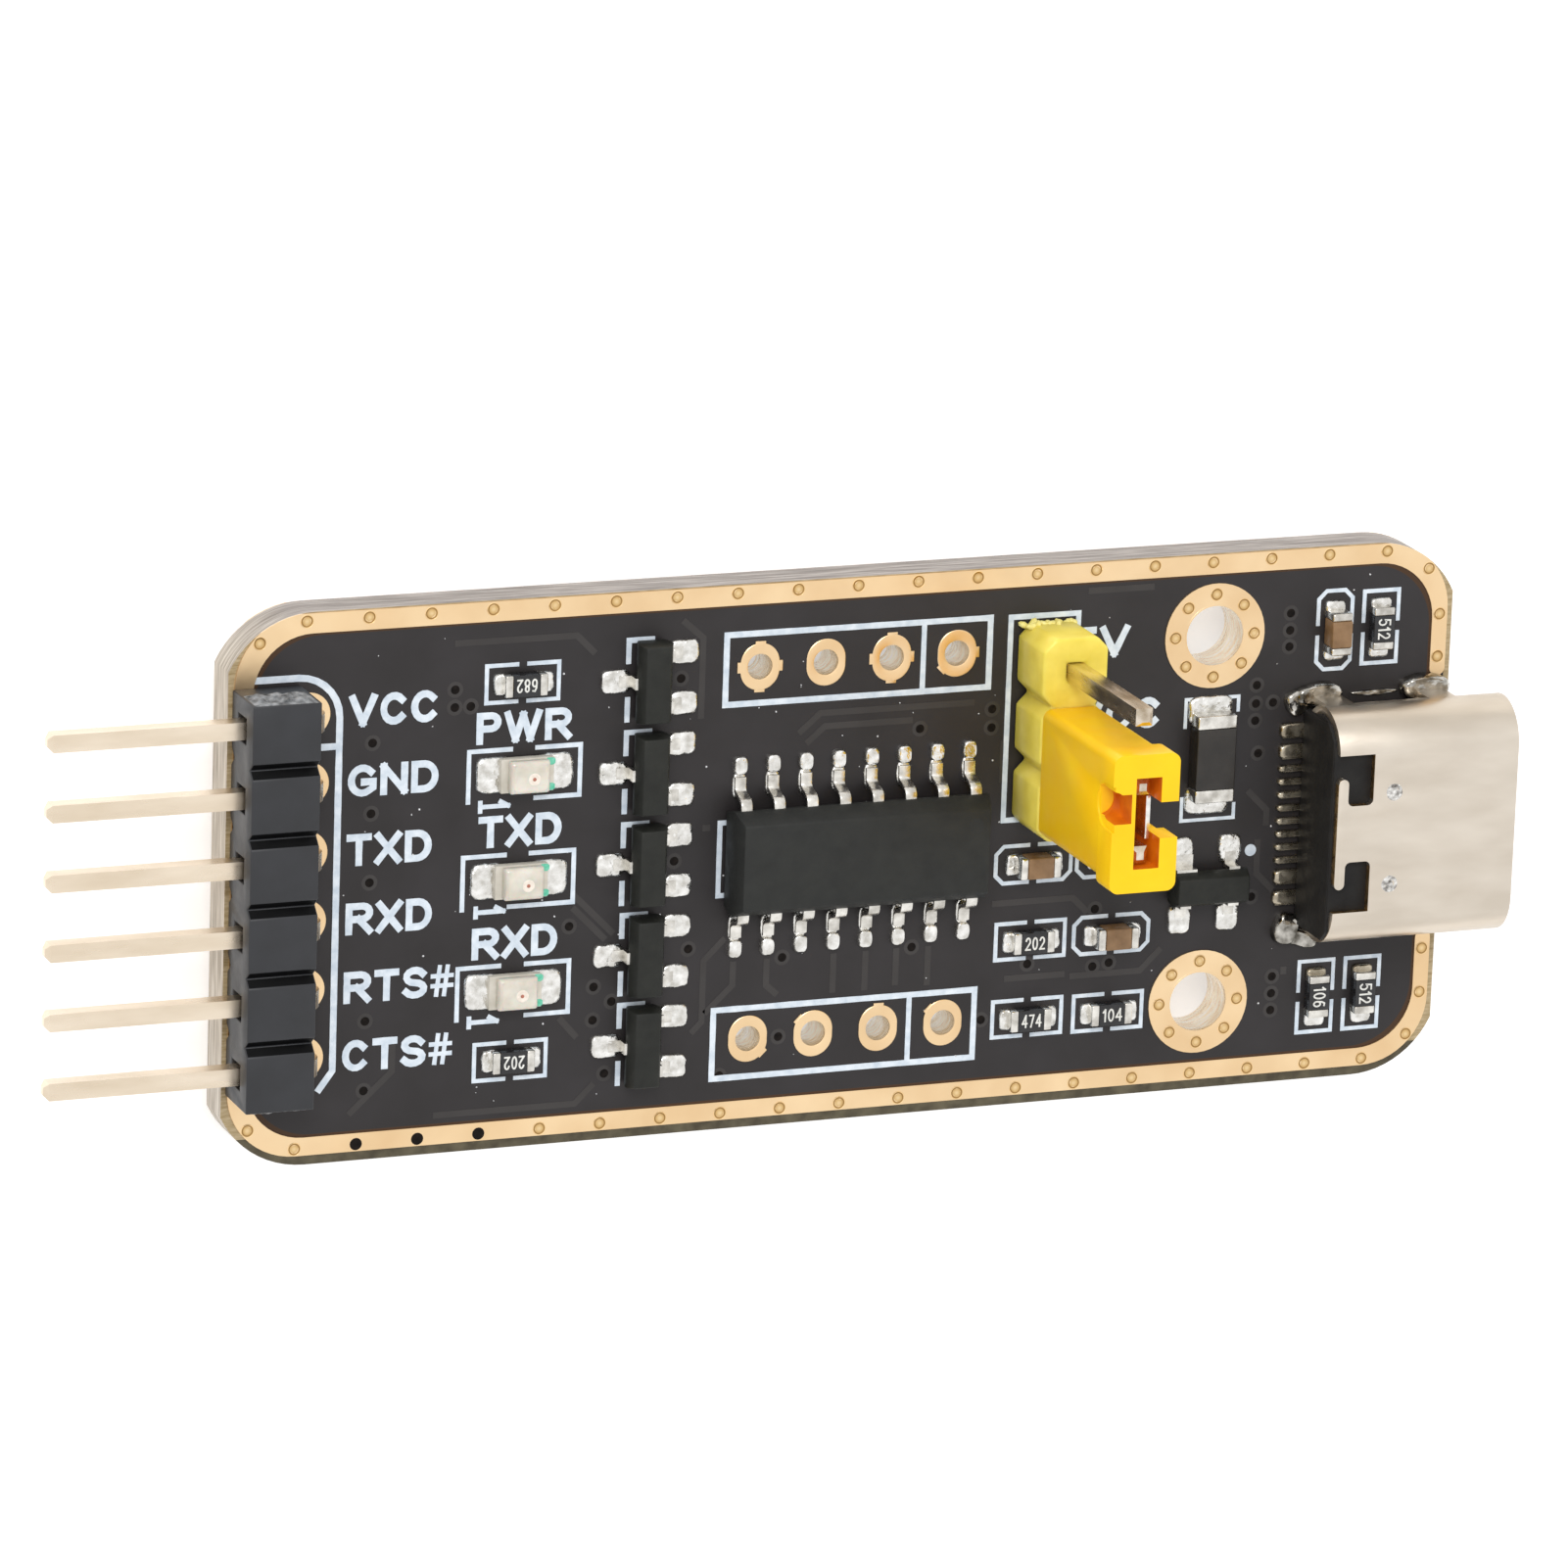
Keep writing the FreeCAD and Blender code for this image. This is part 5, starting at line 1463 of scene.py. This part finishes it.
ribbon(silk, [(16.77, -6.07), (16.77, -6.98), (18.86, -6.98), (18.86, -6.4)], 0.13)
for y in (-0.14, -3.55, -6.98, -10.38, -13.76):
    x = -4.98 if y < -10 else -5.03
    ribbon(silk, [(x, y + 0.56), (x, y + 1.43), (x + 0.98, y + 1.43)], 0.2)
    ribbon(silk, [(x, y - 0.66), (x, y - 1.6)], 0.2)
LAMP_FRAMES = [
    (-10.97, -2.43, -6.76, -4.29, -8.5),
    (-11.1, -6.34, -6.9, -8.28, -9.4),
    (-11.2, -10.47, -6.97, -12.39, -8.65),
]
for x0, y1, x1, y0, base_from in LAMP_FRAMES:
    ribbon(silk, [(x0, y0 - 0.08), (x0, y1), (x0 + 1.65, y1)], 0.17)
    ribbon(silk, [(x1 - 1.72, y1), (x1, y1), (x1, y0), (base_from, y0)], 0.17)
outwards(silk)
print("ink ribbons, faces:", len(silk.faces))
made("silk_lines", silk, [ink], sharp=30.0)


# %% [markdown]
# The letters are the plain even strokes of a drawing program. A font file
# would bring another shape, so each letter is listed as strokes in a box one
# unit wide and one high, with its own width as a share of its height.


# %% Letters as strokes
def arc(x, y, wide, tall, start, end, steps=9):
    """Points on an oval arc, given in degrees, in a letter's unit box."""
    angles = [math.radians(start + (end - start) * k / steps) for k in range(steps + 1)]
    return [(x + wide * math.cos(a), y + tall * math.sin(a)) for a in angles]


BOWL = [(0, 1), (0.6, 1), *arc(0.64, 0.74, 0.36, 0.26, 85, -85, 7), (0.6, 0.48), (0, 0.48)]
OVAL = arc(0.5, 0.5, 0.5, 0.5, 0, 360, 16)
STROKES = {
    "V": (0.98, [[(0, 1), (0.5, 0)], [(0.5, 0), (1, 1)]]),
    "C": (0.98, [arc(0.5, 0.5, 0.5, 0.5, 42, 318, 14)]),
    "G": (
        1.02,
        [[*arc(0.5, 0.5, 0.5, 0.5, 42, 305, 14), (0.98, 0.2), (0.98, 0.44), (0.58, 0.44)]],
    ),
    "N": (0.96, [[(0, 0), (0, 1)], [(0, 1), (1, 0)], [(1, 0), (1, 1)]]),
    "D": (
        0.96,
        [
            [
                (0, 0), (0, 1), (0.42, 1),
                *arc(0.45, 0.5, 0.55, 0.5, 85, -85, 10), (0.42, 0), (0, 0),
            ]
        ],
    ),
    "T": (0.9, [[(0, 1), (1, 1)], [(0.5, 1), (0.5, 0)]]),
    "X": (0.96, [[(0, 0), (1, 1)], [(0, 1), (1, 0)]]),
    "R": (1.0, [[(0, 0), (0, 1)], BOWL, [(0.48, 0.48), (1, 0)]]),
    "P": (0.92, [[(0, 0), (0, 1)], BOWL]),
    "S": (
        0.92,
        [
            arc(0.5, 0.75, 0.46, 0.25, 25, 270, 9)
            + arc(0.5, 0.25, 0.5, 0.25, 90, -155, 9)[1:]
        ],
    ),
    "#": (
        0.84,
        [
            [(0.2, 0), (0.36, 1)], [(0.62, 0), (0.78, 1)],
            [(0, 0.68), (1, 0.68)], [(0, 0.32), (1, 0.32)],
        ],
    ),
    "W": (
        1.4,
        [
            [(0, 1), (0.26, 0)], [(0.26, 0), (0.5, 0.95)],
            [(0.5, 0.95), (0.74, 0)], [(0.74, 0), (1, 1)],
        ],
    ),
    "0": (0.62, [OVAL]),
    "I": (0.42, [[(0, 0.74), (0.5, 1)], [(0.5, 1), (0.5, 0)], [(0, 0), (1, 0)]]),
    "1": (0.4, [[(0, 0.78), (0.75, 1)], [(0.75, 1), (0.75, 0)]]),
    "2": (0.62, [arc(0.5, 0.7, 0.48, 0.3, 165, -25, 8) + [(0, 0)], [(0, 0), (1, 0)]]),
    "4": (0.66, [[(0.75, 0), (0.75, 1)], [(0.75, 1), (0, 0.3)], [(0, 0.3), (1, 0.3)]]),
    "5": (
        0.68,
        [[(0.95, 1), (0.15, 1), (0.08, 0.55), *arc(0.48, 0.32, 0.5, 0.32, 130, -150, 10)]],
    ),
    "6": (
        0.62,
        [
            arc(0.5, 0.3, 0.48, 0.3, 0, 360, 14),
            [(0.03, 0.32), (0.12, 0.72), (0.42, 0.98), (0.85, 0.95)],
        ],
    ),
    "7": (0.62, [[(0, 1), (1, 1)], [(1, 1), (0.35, 0)]]),
    "8": (0.62, [arc(0.5, 0.76, 0.4, 0.24, 0, 360, 12), arc(0.5, 0.27, 0.48, 0.27, 0, 360, 14)]),
}
print("letters drawn:", len(STROKES))

# %% [markdown]
# A word is fitted to the width that it has on the board: the letters are
# stretched alike, with the same small gap between them. Where strokes cross,
# each next one lies a hair higher, as for the outlines, and the crowded hash
# sign gets thinner strokes.


# %% Setting a word
GAP_SHARE, HASH_SHARE, STROKE_STEP = 0.1, 0.62, 0.0015


def lettering(work, text, x, y, width, height, stroke, turn=0.0, low=-0.005, high=0.022):
    """Writes text in even strokes, fitted to a size in mm, round its centre."""
    gap = GAP_SHARE * height
    plain = sum(STROKES[letter][0] for letter in text) * height
    stretch = (width - gap * (len(text) - 1)) / plain
    c, s = math.cos(math.radians(turn)), math.sin(math.radians(turn))
    pen = -width / 2
    for letter in text:
        share, lines = STROKES[letter]
        wide = share * height * stretch
        broad = stroke * (HASH_SHARE if letter == "#" else 1.0)
        for step, line in enumerate(lines):
            spots = []
            for u, v in line:
                a = pen + broad / 2 + u * (wide - broad)
                b = (height - broad) * (v - 0.5)
                spots.append((x + a * c - b * s, y + a * s + b * c))
            looped = math.dist(spots[0], spots[-1]) < 0.001
            ribbon(
                work, spots[:-1] if looped else spots, broad, looped,
                high + STROKE_STEP * step, low, waver=0.12, ends=0 if looped else broad / 2,
            )
        pen += wide + gap


# %% [markdown]
# The words on this board say only what each pin does, so they are kept as
# they are: supply, ground, the two data lines and the two handshake lines.
# Beside each lamp stands a small mark, turned a quarter. Words are set stroke
# by stroke with the ribbons, which gives them the same ink as the frames.

# %% The board's words
WORD_HIGH, WORD_STROKE = 1.18, 0.26
WORDS = [
    ("VCC", -13.83, -0.62, 3.35), ("GND", -13.8, -3.2, 3.4), ("TXD", -13.9, -5.75, 3.2),
    ("RXD", -13.85, -8.3, 3.25), ("RTS#", -13.42, -10.85, 4.15), ("CTS#", -13.42, -13.4, 4.15),
    ("PWR", -8.92, -1.6, 3.6), ("TXD", -8.98, -5.45, 3.15), ("RXD", -9.07, -9.6, 3.25),
    ("5V", 13.35, 0.05, 2.1), ("VCC", 14.1, -2.75, 3.35),
]
words = bmesh.new()
for text, x, y, width in WORDS:
    lettering(words, text, x, y, width, WORD_HIGH, WORD_STROKE)
LAMP_TEXT = [(-9.98, -4.5), (-10.05, -8.42), (-10.2, -12.52)]
for x, y in LAMP_TEXT:
    lettering(words, "I", x, y, 0.48, 1.22, 0.17, turn=-90)
outwards(words)
made("silk_words", words, [ink], sharp=30.0)
DOT = [(0.23, 0.0, 0.0), (0.22, 0.022, 0.0), (0.0, 0.024, 0.0)]
stamped("silk_dot", turned(DOT, 24), [(19.63, -8.3, 0, *AS_DRAWN, 0)], ink)
print("words and lamp marks:", len(WORDS) + len(LAMP_TEXT))

# %% [markdown]
# A chip resistor carries its value in three digits, two figures and the
# number of noughts. They are set like the words, but on top of each resistor
# and in a much finer stroke.

# %% The resistors' values
DIGITS_WIDE, DIGITS_HIGH, DIGIT_STROKE = 0.78, 0.5, 0.062
resistor_top = local_box("resistors")[1].z
VALUES = [
    ("682", -9.02, 0.01, 180), ("202", -9.13, -14.0, 180), ("202", 10.97, -11.08, 0),
    ("474", 10.96, -14.04, 0), ("104", 14.17, -14.07, 0), ("512", 24.37, -0.05, -90),
    ("106", 22.5, -14.04, -90), ("512", 24.37, -14.04, -90),
]
values = bmesh.new()
for text, x, y, turn in VALUES:
    lettering(
        values, text, x, y, DIGITS_WIDE, DIGITS_HIGH, DIGIT_STROKE, turn,
        resistor_top - 0.005, resistor_top + 0.008,
    )
outwards(values)
made("resistor_values", values, [digit_ink], sharp=30.0)
print("resistor values:", len(VALUES))

# %% [markdown]
# Under the mask the copper tracks stand out by less than a hundredth of a
# millimetre, and only a faint change of tone shows them. The same ribbons do
# for them, lower than the ink's and almost without a waver, because copper is
# etched evenly.

# %% Tracks under the mask
TRACK_WIDE, TRACK_HIGH = 0.24, 0.008
TRACKS = [
    [(-15.2, -15.6), (-13.6, -14.1), (-13.6, -13.0)],
    [(-12.0, -15.9), (-6.6, -15.9), (-5.9, -15.2)],
    [(-11.6, 1.6), (-7.0, 1.6), (-6.3, 0.9)],
    [(-6.9, -8.5), (-5.6, -9.8)], [(-6.9, -8.0), (-5.3, -9.6)],
    [(-7.3, -12.6), (-6.6, -13.4)],
    [(1.6, -2.6), (2.4, -1.9), (8.4, -1.9)], [(1.9, -3.0), (2.6, -2.4), (6.0, -2.4)],
    [(3.25, -11.0), (3.25, -12.5)], [(4.5, -11.0), (4.5, -12.5)],
    [(0.65, -11.0), (0.65, -12.0), (1.1, -12.4)], [(-0.65, -11.0), (-0.65, -11.9), (-1.7, -12.9)],
    [(5.7, -11.0), (5.7, -12.4)], [(6.95, -11.0), (6.95, -12.5)],
    [(-2.2, -13.6), (-1.8, -13.2), (-1.8, -10.9), (-1.0, -10.1)],
    [(9.4, -9.6), (12.6, -9.6), (13.2, -10.2)], [(12.6, -12.6), (15.4, -12.6), (16.2, -11.8)],
    [(19.9, -7.9), (19.9, -9.2), (20.6, -9.9)], [(19.4, -6.0), (20.2, -6.8), (20.2, -7.4)],
    [(12.7, 2.0), (15.3, 2.0)], [(-2.0, -5.9), (-1.7, -5.9)],
    [(21.2, -13.2), (21.2, -12.9)], [(9.6, -5.0), (9.6, -3.4)],
    [(-3.0, 1.9), (-2.2, 1.2), (-2.2, -1.8)], [(10.0, -12.5), (12.4, -12.5)],
]
tracks = bmesh.new()
for points in TRACKS:
    ribbon(tracks, points, TRACK_WIDE, high=TRACK_HIGH, waver=0.02)
outwards(tracks)
made("covered_tracks", tracks, [trace], "laminate", sharp=30.0)
print("tracks:", len(TRACKS))

# %% [markdown]
# The header strip was snapped from a longer one, and so was the block under
# the jumper. Their ends are torn: pale, rough and uneven. A relief in the
# finish would leave the outline straight, so a fine grid over the end face is
# pushed out by a noise, less and less towards its border.


# %% Torn ends of the header
TORN_SHARE, TORN_TRIM, SKIN_THICK = 0.62, 0.1, 0.1
CELLS_WIDE, CELLS_TALL, PATCH, MEAN, SWING = 34, 26, 2.6, 0.55, 0.75


def torn(name, node, end, finish_of, slot, deep, seed):
    """A rough skin over the upper share of an end face; end is 1 for +Y, -1 for -Y."""
    low, high = local_box(node)
    x0, x1 = low.x + TORN_TRIM, high.x - TORN_TRIM
    z0 = high.z - TORN_SHARE * (high.z - low.z)
    z1 = high.z - 0.5 * TORN_TRIM
    face_y = high.y if end > 0 else low.y
    work = bmesh.new()
    rows = []
    for j in range(CELLS_TALL + 1):
        row = []
        for i in range(CELLS_WIDE + 1):
            u, v = i / CELLS_WIDE, j / CELLS_TALL
            x, z = x0 + (x1 - x0) * u, z0 + (z1 - z0) * v
            rough = noise.fractal(Vector((x * PATCH, z * PATCH, seed)), 1.0, 2.0, 3)
            border = min(1.0, 7 * min(u, 1 - u, v, 1 - v))
            out = deep * border * (MEAN + SWING * rough)
            row.append(work.verts.new(at(x, face_y + end * max(0.0, out), z)))
        rows.append(row)
    for below, above in zip(rows, rows[1:]):
        for i in range(CELLS_WIDE):
            work.faces.new((below[i], below[i + 1], above[i + 1], above[i]))
    rim = [*rows[0], *[r[-1] for r in rows[1:]]]
    rim += [*reversed(rows[-1][:-1]), *[r[0] for r in reversed(rows[1:-1])]]
    inward = Vector((0, end * SKIN_THICK * MM, 0))
    back = [work.verts.new(v.co - inward) for v in rim]
    for k in range(len(rim)):
        j = (k + 1) % len(rim)
        work.faces.new((rim[k], rim[j], back[j], back[k]))
    work.faces.new(back)
    outwards(work)
    return made(name, work, [finish_of], slot, sharp=70.0)


torn("header_torn_back", "header_housing", 1, broken, "housing_plastic", 0.16, 2.0)
torn("header_torn_front", "header_housing", -1, broken, "housing_plastic", 0.12, 5.0)
print("torn ends made; cells on each:", CELLS_WIDE * CELLS_TALL)

# %% [markdown]
# The yellow block's rear end is torn too, but only along its foot, where a
# row of pale crumbs hangs on. They are strewn with the same dice as the
# specks, most of them low and a few higher up.

# %% Crumbs at the jumper's block
block_low, block_high = local_box("jumper_block")
CRUMBS = 34
crumbs = []
while len(crumbs) < CRUMBS:
    x = draw.uniform(block_low.x + 0.1, block_high.x - 0.45)
    z = block_low.z + abs(draw.gauss(0.0, 0.22))
    size = draw.uniform(0.06, 0.13)
    spot = (x, block_high.y - 0.04, z)
    crumbs.append((*spot, size * draw.uniform(0.8, 2.2), size, 2 * size, 4 * x))
CRUMB = [(0.8, 0.0, 0.0), (1.0, 0.4, 0.0), (0.6, 0.9, 0.0), (0.0, 1.0, 0.0)]
stamped(
    "block_crumbs", turned(CRUMB, 8), crumbs, crumb, "block_plastic", uneven=0.06,
    grain=0.12,
)

# %% [markdown]
# Each lamp has two teal corner marks at its cathode end and a tiny reddish
# die in a pale cup under the resin. Clear resin could show them inside, but it
# takes long to render for so small a thing, so the cup and the die are
# stamped on top of it.

# %% Marks of the lamps
lamp_marks, dies, cups = [], [], []
for use in ("power", "send", "receive"):
    low, high = local_box(f"lamp_base_{use}")
    lens_high = local_box(f"lamp_lens_{use}")[1]
    middle = (low + high) / 2
    for side in (-1, 1):
        spot = (lens_high.x + 0.1, middle.y + side * 0.47, high.z - 0.01)
        lamp_marks.append((*spot, 0.2, 0.14, 0.03, 0))
    x, y = middle.x + 0.12, middle.y - 0.05
    dies.append((x, y, lens_high.z - 0.004, 0.07, 0.07, 0.02, 0))
    cups.append((x, y, lens_high.z - 0.006, *AS_DRAWN, 0))
BUTTON = [(1.0, 0.0, 0.0), (0.95, 0.8, 0.0), (0.0, 1.0, 0.0)]
stamped("lamp_marks", turned(BUTTON, 12, square=4), lamp_marks, teal, "lamp_carrier")
stamped("lamp_dies", turned(BUTTON, 14), dies, red, "lamp_resin")
CUP = [
    (0.24, 0.0, 0.0), (0.22, 0.014, 0.0), (0.17, 0.014, 0.0), (0.15, 0.007, 0.0),
    (0.0, 0.007, 0.0),
]
stamped("lamp_cups", turned(CUP, 24), cups, cup, "lamp_resin")

# %% [markdown]
# The socket's upper plate has two pressed pips, and the chip a shallow round
# mark beside its first pin. Both are turned stamps, laid a hair into the face
# so that no gap shows round them.

# %% Marks on the shell and the chip
PIP = [(0.3, 0.0, 0.0), (0.24, 0.03, 0.0), (0.15, 0.012, 0.0), (0.0, 0.04, 0.0)]
PIPS_AT = [(23.84, -5.49), (23.82, -8.99)]
stamped(
    "shell_pips", turned(PIP, 20),
    [(x, y, shell_high.z - 0.01, 1.15, 1.15, 1, 0) for x, y in PIPS_AT],
    shell_ding, "shell_metal", uneven=0.07, grain=0.16,
)
chip_top = local_box("bridge_chip")[1].z
PIN_MARK = [(0.3, 0.0, 0.0), (0.28, 0.008, 0.0), (0.24, 0.006, 0.0), (0.0, 0.003, 0.0)]
stamped(
    "chip_mark", turned(PIN_MARK, 24), [(8.0, -6.05, chip_top - 0.002, *AS_DRAWN, 0)],
    moulding, "moulding",
)

# %% [markdown]
# The part lies on a white paper floor that takes a faint shadow. The paper
# glows a little by itself, which keeps it white right up to the part without
# a lamp so strong that it would wash out the black board.

# %% The floor
FLOOR_REACH, FLOOR_BELOW = 3.0, 0.05
floor_z = CAD_BOX[0][2] - FLOOR_BELOW * MM
sides = ((-1, -1), (1, -1), (1, 1), (-1, 1))
corners = [(x * FLOOR_REACH, y * FLOOR_REACH, floor_z) for x, y in sides]
floor_mesh = bpy.data.meshes.new("floor")
floor_mesh.from_pydata(corners, [], [(0, 1, 2, 3)])
paper = Finish(
    "floor_paper", Specular_IOR_Level=0.1, Roughness=0.9,
    Emission_Color=(1, 1, 1, 1), Emission_Strength=0.5,
)
GREYS = ((0.3, (226, 226, 226)), (0.7, (232, 232, 232)))
paper.set("Base Color", paper.ramp(paper.grain(40.0), *GREYS))
floor_mesh.materials.append(paper.material)
floor = bpy.data.objects.new("floor", floor_mesh)
bpy.context.scene.collection.objects.link(floor)
print("floor at", round(floor_z / MM, 3), "mm")

# %% [markdown]
# An even white surround gives the metals something bright to mirror. It is a
# little weaker where it only lights the part than where it is seen or
# mirrored, so that the black plastics stay black.

# %% The surround
SEEN_LEVEL, LIGHTING_LEVEL = 1.0, 0.78
world = bpy.data.worlds.new("studio")
bpy.context.scene.world = world
world.use_nodes = True
sky = world.node_tree
background = sky.nodes["Background"]
path = sky.nodes.new("ShaderNodeLightPath")
seen = path.outputs["Is Camera Ray"]
for kind in ("Is Transmission Ray", "Is Glossy Ray"):
    either = sky.nodes.new("ShaderNodeMath")
    either.operation = "MAXIMUM"
    sky.links.new(seen, either.inputs[0])
    sky.links.new(path.outputs[kind], either.inputs[1])
    seen = either.outputs[0]
level = sky.nodes.new("ShaderNodeMapRange")
level.inputs["To Min"].default_value = LIGHTING_LEVEL
level.inputs["To Max"].default_value = SEEN_LEVEL
sky.links.new(seen, level.inputs["Value"])
sky.links.new(level.outputs[0], background.inputs["Strength"])
background.inputs["Color"].default_value = (1.0, 1.0, 1.0, 1.0)
print("surround made:", world.name)

# %% [markdown]
# One large soft lamp stands high at the left behind the board, and a weaker
# one at the right opens the shadows. Only the first may show in the metals,
# because the photographed ones carry a single highlight.

# %% The lamps
LAMPS = [
    ("key", (-0.16, 0.3, 0.42), 0.22, 1.15), ("fill", (0.4, -0.12, 0.36), 0.3, 0.5),
]
for name, place, size, power in LAMPS:
    lamp = bpy.data.lights.new(name, "AREA")
    lamp.shape, lamp.size, lamp.energy = "DISK", size, power
    holder = bpy.data.objects.new(name, lamp)
    holder.location = place
    holder.rotation_euler = (-Vector(place)).to_track_quat("-Z", "Y").to_euler()
    holder.visible_glossy = name == "key"
    bpy.context.scene.collection.objects.link(holder)
bpy.context.scene.view_settings.view_transform = "Standard"
print("lamps:", [name for name, *_ in LAMPS])

# %% [markdown]
# The camera stands where the photograph was taken from. Its place and turn
# come from a fit of the 2.54 mm grid of holes and pins to their images, and
# its long lens from the slight narrowing of the far end.

# %% Camera
CAMERA_PLACE = (-121.933, 90.155, 310.679)
RIGHT = Vector((0.932682, 0.033452, 0.359144))
DOWN = Vector((-0.06792, -0.961591, 0.265952))
AHEAD = Vector((0.354246, -0.272442, -0.894587))
PICTURE_SIDE, FOCAL_PIXELS, SENSOR = 1601, 9846.416, 36.0
lens = bpy.data.cameras.new("camera")
lens.sensor_fit = "HORIZONTAL"
lens.sensor_width = SENSOR
lens.lens = FOCAL_PIXELS / PICTURE_SIDE * SENSOR
lens.clip_start, lens.clip_end = 0.02, 10.0
camera = bpy.data.objects.new("camera", lens)
bpy.context.scene.collection.objects.link(camera)
turn = Matrix((RIGHT, -DOWN, -AHEAD)).transposed()
camera.rotation_mode = "QUATERNION"
camera.rotation_quaternion = turn.to_quaternion()
camera.location = at(*CAMERA_PLACE)
bpy.context.scene.camera = camera
print("lens:", round(lens.lens, 2), "mm; camera at", [round(v, 4) for v in camera.location])

# %% [markdown]
# The box of the drawn solids was measured when they were loaded, and it is
# printed here.

# %% The drawn box, printed
print("cad box:", CAD_BOX)
